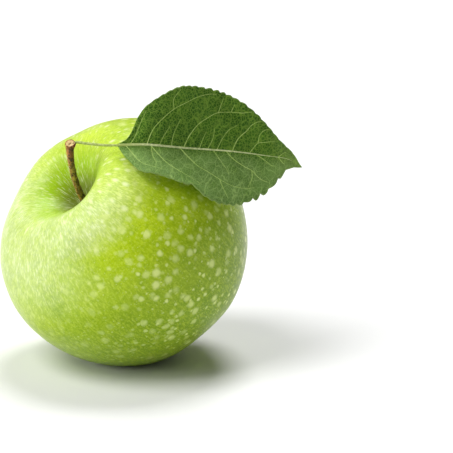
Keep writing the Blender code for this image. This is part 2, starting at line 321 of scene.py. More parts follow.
class Effect:
    """A shared shader effect: a node group that is built once. It reads a vector and a few values."""

    name = ""
    values: tuple[str, ...] = ()
    results: tuple[str, ...] = ()

    @cached_property
    def tree(self) -> bpy.types.NodeTree:
        """The node group."""
        tree = bpy.data.node_groups.new(self.name, "ShaderNodeTree")
        tree.interface.new_socket("Vector", in_out="INPUT", socket_type="NodeSocketVector")
        for name in self.values:
            tree.interface.new_socket(name, in_out="INPUT", socket_type="NodeSocketFloat")
        for name in self.results:
            tree.interface.new_socket(name, in_out="OUTPUT", socket_type="NodeSocketFloat")
        graph = Graph(tree)
        made = self.write(graph, graph.add("NodeGroupInput").outputs)
        graph.add("NodeGroupOutput", dict(zip(self.results, made)))
        return tree

    def write(self, graph: Graph, given: Outputs) -> Sequence[Feed]:
        """Write the group's nodes.

        Args:
            graph: writes into the group.
            given: the group's inputs.

        Returns:
            What goes to the group's outputs, in their order.
        """
        raise NotImplementedError


class Mottle(Effect):
    """Cloudy variation between 0 and 1."""

    name = "cloudy variation"
    values = ("Scale", "Detail", "Low", "High")
    results = ("Value",)

    def write(self, graph: Graph, given: Outputs) -> Sequence[Feed]:
        """Raise one noise's contrast between two values.

        Args:
            graph: writes into the group.
            given: the group's inputs.

        Returns:
            The cloudy value.
        """
        cloud = graph.add("ShaderNodeTexNoise", {name: given[name] for name in ("Vector", "Scale", "Detail")})
        return (graph.ramp(cloud.outputs[0], given["Low"], given["High"]),)


class Spots(Effect):
    """Round spots with soft edges, scattered one to a cell, with some cells left bare."""

    name = "soft spots"
    values = ("Scale", "Radius", "Softness", "Share")
    results = ("Mask", "Heart")
    sizes = (0.55, 1.25)
    strengths = (0.45, 1.0)
    heart_size = 0.4

    def write(self, graph: Graph, given: Outputs) -> Sequence[Feed]:
        """Give each cell a random size and strength, and draw its spot.

        Args:
            graph: writes into the group.
            given: the group's inputs.

        Returns:
            The spots' soft mask, and the small heart in the middle of each.
        """
        cells = graph.add("ShaderNodeTexVoronoi", {name: given[name] for name in ("Vector", "Scale")}).outputs
        chance = graph.add("ShaderNodeSeparateColor", {0: cells["Color"]}).outputs
        radius = graph.times(given["Radius"], graph.spread(chance[0], *self.sizes))
        inner = graph.times(radius, graph.math("SUBTRACT", 1.0, given["Softness"]))
        kept = graph.math("LESS_THAN", chance[1], given["Share"])
        kept = graph.times(kept, graph.spread(chance[2], *self.strengths))
        mask = graph.ramp(cells["Distance"], radius, inner)
        heart = graph.ramp(cells["Distance"], graph.times(radius, self.heart_size), 0.0)
        return graph.times(mask, kept), graph.times(heart, kept)


class Net(Effect):
    """A net of thin lines between small cells, bent a little so that it looks grown."""

    name = "fine net"
    values = ("Scale", "Width", "Bend")
    results = ("Lines", "Cells")
    bends_to_a_cell = 1.7

    def write(self, graph: Graph, given: Outputs) -> Sequence[Feed]:
        """Bend the space and draw the cells in it.

        Args:
            graph: writes into the group.
            given: the group's inputs.

        Returns:
            The cell edges as lines, and each cell's own shade.
        """
        often = graph.times(given["Scale"], self.bends_to_a_cell)
        stir = graph.add("ShaderNodeTexNoise", {"Vector": given["Vector"], "Scale": often}).outputs["Color"]
        shift = graph.add("ShaderNodeVectorMath", {0: stir, "Scale": given["Bend"]}, operation="SCALE")
        bent = graph.shift(given["Vector"], shift.outputs[0])
        places = {"Vector": bent, "Scale": given["Scale"]}
        edges = graph.add("ShaderNodeTexVoronoi", places, feature="DISTANCE_TO_EDGE").outputs
        cells = graph.add("ShaderNodeTexVoronoi", places).outputs
        shade = graph.add("ShaderNodeSeparateColor", {0: cells["Color"]}).outputs
        return graph.ramp(edges["Distance"], given["Width"], 0.0), shade[0]


MOTTLE = Mottle()
SPOTS = Spots()
NET = Net()


@dataclass(frozen=True)
class Finish:
    """A finish: a Principled material whose colour, roughness and relief are written by a subclass."""

    name: str = "finish"
    roughness: float = 0.5
    specular: float = 0.5
    specular_tint: Colour = (1.0, 1.0, 1.0)
    scatter: float = 0.0
    scatter_reach: Colour = (1.0, 1.0, 0.3)
    relief: float = 0.05

    def write(self, graph: Graph) -> Written:
        """Write the nodes.

        Args:
            graph: writes into the material.

        Returns:
            The base colour, the roughness and the height.
        """
        raise NotImplementedError

    @cached_property
    def material(self) -> bpy.types.Material:
        """The finished material, built once."""
        material = bpy.data.materials.new(self.name)
        material.use_nodes = True
        graph = Graph(material.node_tree)
        shader = material.node_tree.nodes["Principled BSDF"]
        colour, roughness, height = self.write(graph)
        bump = graph.add("ShaderNodeBump", {"Distance": self.relief * MM, "Height": height})
        looks = {
            "Base Color": colour, "Roughness": roughness, "Normal": bump.outputs[0],
            "Specular IOR Level": self.specular, "Specular Tint": self.specular_tint,
            "Subsurface Weight": self.scatter, "Subsurface Radius": self.scatter_reach,
            "Subsurface Scale": MM,
        }
        for socket, value in looks.items():
            graph.feed(shader.inputs[socket], value)
        return material


@dataclass(frozen=True)
class SkinFinish(Finish):
    """Waxy skin: yellow-green with pale dots, radiating dashes in the cavity and streaks along the fruit.

    The mesh carries three attributes: skin, a map that keeps lengths along the skin, in millimetres; rays,
    the turn round the axis as two numbers and the length from the stem; and arc, that length alone. The fades
    read that length, or the first number of the turn where their names say side. Those of the calyx end and
    the basin read the length from the other pole.
    """

    name: str = "apple skin"
    roughness: float = 0.34
    specular: float = 0.25
    specular_tint: Colour = (0.84, 1.0, 0.72)
    scatter: float = 0.08
    relief: float = 0.04
    whole_arc: float = 150.0

    fresh: Colour = (0.40, 0.58, 0.006)
    deep: Colour = (0.19, 0.34, 0.003)
    # Darker green towards the calyx end, which lies low and to the right: partly the fruit's own colour, partly
    # painted shade.
    shade: Colour = (0.10, 0.21, 0.002)
    vivid: Colour = (0.31, 0.53, 0.002)
    yellow: Colour = (0.55, 0.70, 0.012)
    pale: Colour = (0.82, 0.88, 0.50)
    # Whitish colours laid round the cavity and on the left flank: partly the skin's own paleness, partly
    # painted highlight.
    pale_sheen: Colour = (0.80, 0.84, 0.68)
    warm_sheen: Colour = (0.78, 0.87, 0.34)
    dot: Colour = (0.70, 0.80, 0.26)
    sheen: Colour = (0.68, 0.80, 0.13)
    fleck: Colour = (0.64, 0.76, 0.06)
    # Olive at the bottom of the cavity: partly the fruit's own russet, partly painted shade in the hollow.
    olive: Colour = (0.12, 0.14, 0.018)
    russet: Colour = (0.22, 0.15, 0.05)

    cavity: Fade = (21.5, 11.5)
    hollow: Fade = (14.0, 5.0)
    body: Fade = (24.0, 36.0)
    calyx_end: Fade = (104.0, 40.0)
    basin: Fade = (13.0, 3.0)
    # Where the whitish colour lies: a ring round the cavity, weaker on the right, and the left flank that faces
    # the lamps. It is partly the skin's own paleness, partly painted highlight.
    ring_start: Fade = (12.5, 22.0)
    ring_end: Fade = (41.0, 30.0)
    ring_side: Fade = (-0.9, 0.0, 0.3, 1.0)
    lit_flank_start: Fade = (12.0, 20.0)
    lit_flank_end: Fade = (56.0, 34.0)
    lit_flank_side: Fade = (0.45, 1.0)
    dotted_side: Fade = (1.0, 0.2, 0.3, 1.0)
    # Whiter on the left, where the lamps fall: painted highlight.
    sheen_side: Fade = (-0.3, 0.4)
    dash_start: Fade = (12.0, 24.0, 0.45, 1.0)
    dash_end: Fade = (44.0, 30.0)

    wide: Pattern = (0.04, 2.0, 0.35, 0.7)
    patches: Pattern = (0.16, 3.0, 0.42, 0.7)
    dark_grain: Pattern = (1.1, 4.0, 0.45, 0.7)
    grain: Pattern = (1.9, 4.0, 0.5, 0.74)
    streaks: Pattern = (1.0, 3.0, 0.44, 0.7)
    clouds: Pattern = (0.3, 4.0, 0.25, 0.75)
    shades: Pattern = (0.9, 3.0, 0.42, 0.62)
    lines: Pattern = (1.9, 3.0, 0.55, 0.68)
    rust: Pattern = (0.8, 4.0, 0.35, 0.6)
    large_dots: Pattern = (0.3, 0.45, 0.65, 0.95)
    small_dots: Pattern = (0.45, 0.32, 0.55, 0.75)
    fine_dots: Pattern = (1.35, 0.3, 0.6, 0.5)
    dashes: Pattern = (0.8, 0.42, 0.8, 0.8)
    long_rays: tuple[float, float, float] = (62.0, 62.0, 0.6)
    short_rays: tuple[float, float, float] = (15.0, 15.0, 0.36)
    thin_rays: tuple[float, float, float] = (15.0, 15.0, 0.2)
    dot_wobble: float = 0.7

    def write(self, graph: Graph) -> Written:
        """Lay the ground, the pale sheen and streaks, the dots and the cavity's dashes over each other.

        Args:
            graph: writes into the material.

        Returns:
            The base colour, the roughness and the height.
        """
        skin, rays = graph.attribute("skin", "Vector"), graph.attribute("rays", "Vector")
        arc, side = graph.attribute("arc"), graph.split(rays)[0]
        cavity, dotted = graph.ramp(arc, *self.cavity), graph.ramp(side, *self.dotted_side)
        calyx_end, basin = (graph.ramp(arc, *(self.whole_arc - place for place in fade))
                            for fade in (self.calyx_end, self.basin))
        # Painted highlight, partly the skin's own paleness: a whitish ring round the cavity, weaker on the
        # right, and the left flank that faces the lamps.
        ring = graph.times(graph.ramp(arc, *self.ring_start), graph.ramp(arc, *self.ring_end),
                           graph.ramp(side, *self.ring_side))
        lit_flank = graph.times(graph.ramp(side, *self.lit_flank_side), graph.ramp(arc, *self.lit_flank_end),
                            graph.ramp(arc, *self.lit_flank_start))

        grain = graph.cloud(skin, self.grain)
        dark_grain = graph.cloud(graph.place(skin, move=(7, 3, 5)), self.dark_grain)
        streaks = graph.cloud(graph.place(rays, self.long_rays), self.streaks)
        # The whitish colour's share, broken up by clouds and streaks, and whiter on the left where the lamps
        # fall: painted highlight, partly the skin's own paleness.
        pale_sheen = graph.times(graph.math("MAXIMUM", ring, lit_flank),
                            graph.spread(graph.cloud(skin, self.clouds), 0.34, 0.56),
                            graph.spread(streaks, 0.6, 1.55))
        sheen_colour = graph.mix(self.warm_sheen, self.pale_sheen, graph.ramp(side, *self.sheen_side))

        stirred = graph.add("ShaderNodeTexNoise", {"Vector": skin, "Scale": self.dot_wobble}).outputs["Color"]
        wobbled = graph.shift(skin, stirred)
        large, small = graph.scatter(wobbled, self.large_dots), graph.scatter(wobbled, self.small_dots)
        fine = graph.scatter(skin, self.fine_dots)["Mask"]
        near_calyx = graph.times(graph.spread(calyx_end, 0.3, 1.0), dotted)

        thin_rays = graph.place(rays, self.thin_rays)
        shades = graph.cloud(graph.place(thin_rays, move=(3, 5, 7)), self.shades)
        dashes = graph.times(graph.scatter(graph.place(rays, self.short_rays), self.dashes)["Mask"],
                             graph.ramp(arc, *self.dash_end), graph.ramp(arc, *self.dash_start),
                             graph.spread(lit_flank, 1.0, 0.55))
        colour = graph.layers(
            self.fresh,
            (self.yellow, graph.cloud(skin, self.wide), 0.5),
            (self.deep, graph.cloud(skin, self.patches), 0.35),
            # darker towards the calyx end: partly the fruit's own colour, partly painted shade
            (self.shade, calyx_end, 0.68),
            (self.vivid, cavity, 0.7),
            (self.deep, dark_grain, 0.4),
            # painted highlight, partly the skin's own paleness
            (sheen_colour, pale_sheen),
            (self.fleck, streaks, 0.34),
            (graph.mix(self.sheen, self.fleck, calyx_end), grain, 0.42),
            (self.dot, large["Mask"], graph.ramp(arc, *self.body), dotted),
            (self.dot, small["Mask"], near_calyx),
            (self.dot, fine, 0.5),
            (self.pale, small["Heart"], near_calyx, 0.5),
            (self.vivid, shades, cavity, 0.8),
            # olive at the cavity's bottom: partly own russet, partly painted shade in the hollow
            (self.olive, graph.ramp(arc, *self.hollow), 0.8),
            (self.pale, dashes, 0.72),
            (self.pale, graph.cloud(thin_rays, self.lines), cavity, 0.55),
            (self.russet, basin, graph.cloud(skin, self.rust), 0.85),
        )
        rough = graph.spread(grain, self.roughness - 0.05, self.roughness + 0.12)
        rough = graph.math("ADD", rough, graph.times(basin, 0.25))
        height = graph.math("ADD", graph.times(grain, 0.6), graph.times(streaks, 0.4), graph.times(fine, 0.5),
                            graph.times(dashes, 0.3))
        return colour, rough, height


@dataclass(frozen=True)
class BarkFinish(Finish):
    """Stem bark: red-brown near the cut end, olive lower down, with dark specks and ridges along it."""

    name: str = "stem bark"
    roughness: float = 0.62
    relief: float = 0.12
    red: Colour = (0.40, 0.085, 0.012)
    brown: Colour = (0.20, 0.085, 0.018)
    olive: Colour = (0.42, 0.32, 0.030)
    orange: Colour = (0.80, 0.38, 0.025)
    dark: Colour = (0.022, 0.012, 0.005)
    grey: Colour = (0.62, 0.56, 0.36)
    reddening: Fade = (0.6, 0.95)
    orange_side: Fade = (0.1, 0.95, 0.0, 0.6)
    # Darker on the right side, away from the lamps: painted shade.
    shaded_side: Fade = (0.3, -0.7, 0.0, 0.4)
    speckled_side: Fade = (0.85, -0.1, 0.4, 1.0)
    lit_side: Fade = (0.88, 0.99)
    lit_end: Fade = (0.66, 0.5)
    knot_start: Fade = (0.62, 0.74)
    knot_end: Fade = (0.9, 0.78)
    patches: Pattern = (0.5, 3.0, 0.38, 0.62)
    ridges: Pattern = (1.6, 4.0, 0.4, 0.62)
    specks: Pattern = (1.15, 0.5, 0.45, 0.95)
    pale_specks: Pattern = (1.7, 0.34, 0.5, 0.75)

    def write(self, graph: Graph) -> Written:
        """Lay the bark's patches, ridges and specks over each other.

        Args:
            graph: writes into the material.

        Returns:
            The base colour, the roughness and the height.
        """
        wrap = graph.attribute("wrap", "Vector")
        along, left = graph.attribute("along"), graph.attribute("left")
        ridges = graph.cloud(graph.place(wrap, (1.0, 1.0, 0.3)), self.ridges)
        specks = graph.scatter(wrap, self.specks)["Mask"]
        pale = graph.scatter(graph.place(wrap, move=(9, 4, 2)), self.pale_specks)["Mask"]
        knot = graph.times(graph.ramp(along, *self.knot_start), graph.ramp(along, *self.knot_end))
        lit = graph.times(graph.ramp(left, *self.lit_side), graph.ramp(along, *self.lit_end))
        colour = graph.layers(
            self.olive,
            (self.red, graph.ramp(along, *self.reddening)),
            (self.brown, graph.cloud(wrap, self.patches), 0.55),
            (self.orange, graph.ramp(left, *self.orange_side)),
            (self.dark, ridges, 0.72),
            # painted shade on the right side
            (self.dark, graph.ramp(left, *self.shaded_side)),
            (self.dark, specks, graph.ramp(left, *self.speckled_side)),
            (self.grey, pale, graph.spread(knot, 0.35, 0.9)),
            (self.grey, lit, 0.7),
        )
        height = graph.math("SUBTRACT", pale, graph.times(ridges, 0.7))
        return colour, graph.spread(ridges, self.roughness - 0.12, self.roughness + 0.15), height


@dataclass(frozen=True)
class CutFinish(Finish):
    """The stem's cut end: pale cream wood with a reddish edge and a darker pith."""

    name: str = "cut stem wood"
    roughness: float = 0.7
    relief: float = 0.05
    cream: Colour = (0.80, 0.62, 0.26)
    rust: Colour = (0.30, 0.08, 0.02)
    pith: Colour = (0.36, 0.22, 0.06)
    edge: Fade = (0.62, 0.95)
    middle: Fade = (0.26, 0.1)
    grain: Pattern = (1.6, 4.0, 0.4, 0.65)

    def write(self, graph: Graph) -> Written:
        """Lay the grain, the edge and the pith over the wood.

        Args:
            graph: writes into the material.

        Returns:
            The base colour, the roughness and the height.
        """
        grain = graph.cloud(graph.attribute("wrap", "Vector"), self.grain)
        out = graph.attribute("out")
        colour = graph.layers(
            self.cream,
            (self.rust, grain, 0.5),
            (self.rust, graph.ramp(out, *self.edge)),
            (self.pith, graph.ramp(out, *self.middle)),
        )
        return colour, self.roughness, grain


@dataclass(frozen=True)
class BladeFinish(Finish):
    """A leaf blade's face: green with a net of fine veins between the large ones."""

    name: str = "leaf upper face"
    roughness: float = 0.42
    specular: float = 0.08
    relief: float = 0.12
    base: Colour = (0.022, 0.082, 0.003)
    light: Colour = (0.052, 0.140, 0.008)
    line: Colour = (0.19, 0.34, 0.035)
    # The lower half's paler, greyer green and paler net lines are painted sheen: the reflection of the light
    # from above.
    painted_sheen_line: Colour = (0.33, 0.49, 0.14)
    edge: Colour = (0.26, 0.38, 0.10)
    pale_sheen: Colour = (0.228, 0.375, 0.102)
    pale_strength: float = 0.49
    net_strength: float = 0.9
    painted_sheen_half: Fade = (1.0, -4.0, 0.08, 1.0)
    beside_vein: Fade = (0.35, 0.1)
    rim: Fade = (0.975, 1.0)
    tip: Fade = (46.0, 60.0)
    clouds: Pattern = (0.12, 3.0, 0.32, 0.7)
    painted_sheen_clouds: Pattern = (0.2, 2.0, -0.1, 0.6)
    fine_net: Pattern = (1.25, 0.14, 0.12)
    coarse_net: Pattern = (0.42, 0.06, 0.8)

    def write(self, graph: Graph) -> Written:
        """Lay the painted sheen of the lower half, the net and the pale margin over the green.

        Args:
            graph: writes into the material.

        Returns:
            The base colour, the roughness and the height.
        """
        blade = graph.attribute("blade", "Vector")
        along, across = graph.split(blade)[:2]
        fine = graph.net(blade, self.fine_net)
        coarse = graph.net(graph.place(blade, (1.0, 0.6, 1.0)), self.coarse_net)["Lines"]
        # painted sheen on the lower half, broken up by clouds
        painted_sheen = graph.times(graph.cloud(blade, self.painted_sheen_clouds), graph.ramp(across, *self.painted_sheen_half))
        line = graph.mix(self.line, self.painted_sheen_line, painted_sheen)
        lines = graph.math("MAXIMUM", graph.times(fine["Lines"], graph.spread(painted_sheen, 0.85, 0.5)),
                           graph.times(coarse, 0.85))
        colour = graph.layers(
            self.base,
            (self.light, graph.cloud(blade, self.clouds)),
            (self.light, fine["Cells"], 0.25),
            # painted sheen on the lower half
            (self.pale_sheen, painted_sheen, self.pale_strength),
            (line, lines, self.net_strength),
            (line, graph.ramp(graph.attribute("vein"), *self.beside_vein), 0.35),
            (self.edge, graph.ramp(graph.attribute("margin"), *self.rim), 0.6),
            (self.edge, graph.ramp(along, *self.tip), self.pale_strength),
        )
        height = graph.math("SUBTRACT", graph.times(fine["Cells"], 0.3), fine["Lines"], coarse)
        return colour, graph.spread(fine["Lines"], self.roughness, self.roughness + 0.15), height


@dataclass(frozen=True)
class VeinFinish(Finish):
    """Stalk, midrib and veins: pale green with a fine grain along them."""

    name: str = "leaf veins"
    roughness: float = 0.5
    relief: float = 0.04
    green: Colour = (0.35, 0.53, 0.09)
    pale: Colour = (0.51, 0.66, 0.18)
    root: Colour = (0.28, 0.36, 0.06)
    root_end: Fade = (-80.0, -90.0)
    grain: Pattern = (1.2, 3.0, 0.35, 0.65)

    def write(self, graph: Graph) -> Written:
        """Lay the grain over the green, and darken the root.

        Args:
            graph: writes into the material.

        Returns:
            The base colour, the roughness and the height.
        """
        spot = graph.in_mm()
        grain = graph.cloud(spot, self.grain)
        root = graph.ramp(graph.split(spot)[0], *self.root_end)
        return graph.layers(self.green, (self.pale, grain), (self.root, root)), self.roughness, grain


@dataclass(frozen=True)
class DryFinish(Finish):
    """Dried sepals and stamens: grey-brown, matt and fibrous."""

    name: str = "dried calyx"
    roughness: float = 0.88
    relief: float = 0.15
    brown: Colour = (0.15, 0.09, 0.04)
    grey: Colour = (0.42, 0.36, 0.26)
    dark: Colour = (0.035, 0.02, 0.012)
    patches: Pattern = (0.7, 3.0, 0.35, 0.65)
    fibres: Pattern = (3.0, 4.0, 0.4, 0.62)

    def write(self, graph: Graph) -> Written:
        """Lay grey patches and dark fibres over the brown.

        Args:
            graph: writes into the material.

        Returns:
            The base colour, the roughness and the height.
        """
        spot = graph.in_mm()
        fibres, patches = graph.cloud(spot, self.fibres), graph.cloud(spot, self.patches)
        colour = graph.layers(self.brown, (self.grey, patches), (self.dark, fibres, 0.6))
        return colour, self.roughness, fibres


@dataclass(frozen=True)
class FloorFinish(Finish):
    """A plain, pale, matt studio floor."""

    name: str = "pale floor"
    roughness: float = 0.85
    specular: float = 0.2
    relief: float = 0.02
    white: Colour = (0.88, 0.88, 0.88)
    shade: Colour = (0.86, 0.86, 0.86)
    clouds: Pattern = (6.0, 2.0, 0.3, 0.7)

    def write(self, graph: Graph) -> Written:
        """Vary the white a little. Returns the base colour, the roughness and the height."""
        cloud = graph.cloud(graph.add("ShaderNodeTexCoord").outputs["Object"], self.clouds)
        return graph.mix(self.white, self.shade, cloud), self.roughness, cloud


def add_object(name: str, data: bpy.types.ID) -> bpy.types.Object:
    """Make an object and link it into the scene.

    Args:
        name: the object's name.
        data: its mesh, curve, light or camera.

    Returns:
        The object.
    """
    made = bpy.data.objects.new(name, data)
    bpy.context.scene.collection.objects.link(made)
    return made


@dataclass
class Piece:
    """Turns a bmesh in millimetres into a finished piece of the object."""

    name: str
    slot: Slot
    finishes: Sequence[Finish]
    stands_for: Iterable[Node] = ()

    def finish(self, bm: bmesh.types.BMesh, thickness: float = 0.0) -> bpy.types.Object:
        """Write the mesh, dress it and fasten it to the frame.

        Args:
            bm: the shape, in millimetres. It is freed.
            thickness: the wall given to an open sheet, in millimetres, or 0 for a closed shape. The second
                finish then covers the sheet's other face.

        Returns:
            The finished object.
        """
        bmesh.ops.scale(bm, vec=(MM, MM, MM), verts=bm.verts)
        mesh = bpy.data.meshes.new(self.name)
        bm.to_mesh(mesh)
        bm.free()
        mesh.shade_smooth()
        for finish in self.finishes:
            mesh.materials.append(finish.material)
        piece = add_object(self.name, mesh)
        if thickness:
            wall = piece.modifiers.new("Wall", "SOLIDIFY")
            wall.thickness = thickness * MM
            wall.offset = 0.0
            if len(self.finishes) > 1:
                wall.material_offset = 1
        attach(piece, ROOT)
        for node in self.stands_for:
            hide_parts(node.value)
        LOG.info("%s: %d faces in its mesh, slot %s", self.name, len(mesh.polygons), self.slot.value)
        return piece


@dataclass
class Pose:
    """How the fruit lies: its middle, and the lean of its own axis."""

    centre: Spot = (0.33, 0.25, 40.12)
    lean: float = math.radians(44.1)
    azimuth: float = math.radians(-143.2)

    @cached_property
    def matrix(self) -> Matrix:
        """From the fruit's own axis frame to the resting frame, in millimetres."""
        turn = Matrix.Rotation(self.azimuth, 4, "Z") @ Matrix.Rotation(self.lean, 4, "Y")
        return Matrix.Translation(self.centre) @ turn


@dataclass
class Fruit:
    """The fruit: a profile spun round its axis, lobed, and flat where it rests."""

    pose: Pose
    radius: float = 39.8
    stem_end: tuple[float, float] = (33.3, 1.93)
    calyx_end: tuple[float, float] = (40.5, 2.16)
    cavity: tuple[float, float, float] = (14.5, 11.9, 2.26)
    pit: tuple[float, float] = (2.8, 4.5)
    basin: tuple[float, float] = (6.5, 8.0)
    lobes: int = 5
    shoulder_lobe: float = 0.5
    shoulder_lobe_angle: float = math.radians(37)
    low_shoulder: float = 0.5
    flank_lobe: float = 0.4
    basin_lobe: float = 1.3
    basin_lobe_radius: float = 13.5
    basin_lobe_spread: float = 6.5
    calyx_lobe_angle: float = math.radians(-40)
    rings: int = 190
    segments: int = 256
    ripple: float = 0.12
    ripple_length: float = 7.0
    smooth_radius: float = 12.0
    weld: float = 0.0005

    def profile(self, angle: float) -> tuple[float, float]:
        """Read the fruit's outline.

        Args:
            angle: the angle from the stem end's pole.

        Returns:
            The radius and the height there.
        """
        upper = angle <= math.pi / 2
        reach, fullness = self.stem_end if upper else self.calyx_end
        sine, cosine = abs(math.sin(angle)), abs(math.cos(angle))
        size = (sine ** fullness + cosine ** fullness) ** (-1 / fullness)
        radius = self.radius * sine * size
        level = reach * cosine * size
        if upper:
            depth, width, steepness = self.cavity
            level -= depth * math.exp(-((radius / width) ** steepness))
            level -= self.pit[0] * math.exp(-((radius / self.pit[1]) ** 2))
            return radius, level
        return radius, self.basin[0] * math.exp(-((radius / self.basin[1]) ** 2)) - level

    def lift(self, angle: float, turn: float, radius: float) -> float:
        """How far the lobes raise the skin along the axis.

        Args:
            angle: the angle from the stem end's pole.
            turn: the turn round the axis.
            radius: the distance from the axis.

        Returns:
            The shift, in millimetres.
        """
        weight = math.sin(2 * angle) ** 2
        if angle <= math.pi / 2:
            lobes = self.shoulder_lobe * math.cos(self.lobes * (turn - self.shoulder_lobe_angle))
            return weight * (lobes - self.low_shoulder * math.cos(turn))
        wave = math.cos(self.lobes * (turn - self.calyx_lobe_angle))
        near = math.exp(-(((radius - self.basin_lobe_radius) / self.basin_lobe_spread) ** 2))
        return -wave * (self.flank_lobe * weight + self.basin_lobe * near)

    @cached_property
    def angles(self) -> list[float]:
        """The rings' angles, spread so that the rings are evenly spaced along the skin."""
        count = self.rings * 8
        fine = [math.pi * step / count for step in range(count + 1)]
        points = [self.profile(angle) for angle in fine]
        reach = Route(tuple(points)).places
        wanted = [reach[-1] * step / self.rings for step in range(self.rings + 1)]
        angles, index = [], 0
        for length in wanted:
            while index < count - 1 and reach[index + 1] < length:
                index += 1
            part = (length - reach[index]) / (reach[index + 1] - reach[index])
            angles.append(fine[index] + (fine[index + 1] - fine[index]) * part)
        return angles

    @cached_property
    def whole_arc(self) -> float:
        """The length of the profile from pole to pole."""
        return Route(tuple(self.profile(angle) for angle in self.angles)).places[-1]

    def build(self, finish: SkinFinish) -> bpy.types.Object:
        """Spin the outline, shape it and lay it to rest.

        Args:
            finish: the skin.

        Returns:
            The finished fruit.
        """
        bm = bmesh.new()
        arc_layer = bm.verts.layers.float.new("arc")
        angle_layer = bm.verts.layers.float.new("angle")
        skin_layer = bm.verts.layers.float_vector.new("skin")
        rays_layer = bm.verts.layers.float_vector.new("rays")
        points = [self.profile(angle) for angle in self.angles]
        arcs = Route(tuple(points)).places
        profile = []
        for angle, arc, (radius, level) in zip(self.angles, arcs, points):
            vert = bm.verts.new((radius, 0.0, level))
            vert[arc_layer] = arc
            vert[angle_layer] = angle
            profile.append(vert)
        for pole in (profile[0], profile[-1]):
            pole.co.x = 0.0
        edges = [bm.edges.new(pair) for pair in zip(profile, profile[1:])]
        bmesh.ops.spin(bm, geom=profile + edges, cent=(0, 0, 0), axis=(0, 0, 1), angle=TURN,
                       steps=self.segments, use_merge=True)
        bmesh.ops.remove_doubles(bm, verts=bm.verts, dist=self.weld)
        for vert in bm.verts:
            self.shape(vert, vert[angle_layer], vert[arc_layer], skin_layer, rays_layer)
        bmesh.ops.recalc_face_normals(bm, faces=bm.faces)
        bmesh.ops.transform(bm, matrix=self.pose.matrix, verts=bm.verts)
        for vert in bm.verts:
            vert.co.z = max(vert.co.z, 0.0)
        return Piece("apple_fruit", Slot.SKIN, [finish], [Node.FRUIT]).finish(bm)

    def shape(self, vert: bmesh.types.BMVert, angle: float, arc: float, skin_layer: bmesh.types.BMLayerItem,
              rays_layer: bmesh.types.BMLayerItem) -> None:
        """Lobe and ripple the skin at one vertex, and write its maps.

        Args:
            vert: the vertex.
            angle: its angle from the stem end's pole.
            arc: its length along the skin from that pole.
            skin_layer: the map that keeps lengths along the skin.
            rays_layer: the map of its turn and its length.
        """
        radius = math.hypot(vert.co.x, vert.co.y)
        turn = math.atan2(vert.co.y, vert.co.x)
        sides = Vector((math.cos(turn), math.sin(turn))) if radius > 0.001 else Vector((0.0, 0.0))
        span = arc / self.whole_arc * math.pi
        size = self.whole_arc / math.pi
        vert[skin_layer] = Vector((sides.x * math.sin(span), sides.y * math.sin(span), math.cos(span))) * size
        vert[rays_layer] = Vector((sides.x, sides.y, arc))
        vert.co.z += self.lift(angle, turn, radius)
        ripple = noise.noise(vert[skin_layer] / self.ripple_length) * self.ripple
        vert.co += vert.co.normalized() * (ripple * smooth(radius / self.smooth_radius))


def wrap_sheet(along: int, around: int, place: Callable[[float, float], Vector]) -> bmesh.types.BMesh:
    """A tube from a flat sheet: it is rolled up and its two long sides are joined.

    Args:
        along: how many rows it has.
        around: how many sides it has.
        place: gives the point for a share of the length and a turn, in millimetres.

    Returns:
        The open tube, with the attributes along, left, wrap and out.
    """
    bm = bmesh.new()
    bmesh.ops.create_grid(bm, x_segments=along, y_segments=around, size=0.5)
    along_layer = bm.verts.layers.float.new("along")
    wrap_layer = bm.verts.layers.float_vector.new("wrap")
    out_layer = bm.verts.layers.float.new("out")
    left_layer = bm.verts.layers.float.new("left")
    for vert in bm.verts:
        share, turn = vert.co.x + 0.5, (vert.co.y + 0.5) * TURN
        vert[along_layer] = share
        vert[left_layer] = math.cos(turn)
        vert[out_layer] = 1.0
        vert.co = place(share, turn)
        vert[wrap_layer] = vert.co
    bmesh.ops.remove_doubles(bm, verts=bm.verts, dist=SEAM_WELD)
    bmesh.ops.recalc_face_normals(bm, faces=bm.faces)
    return bm


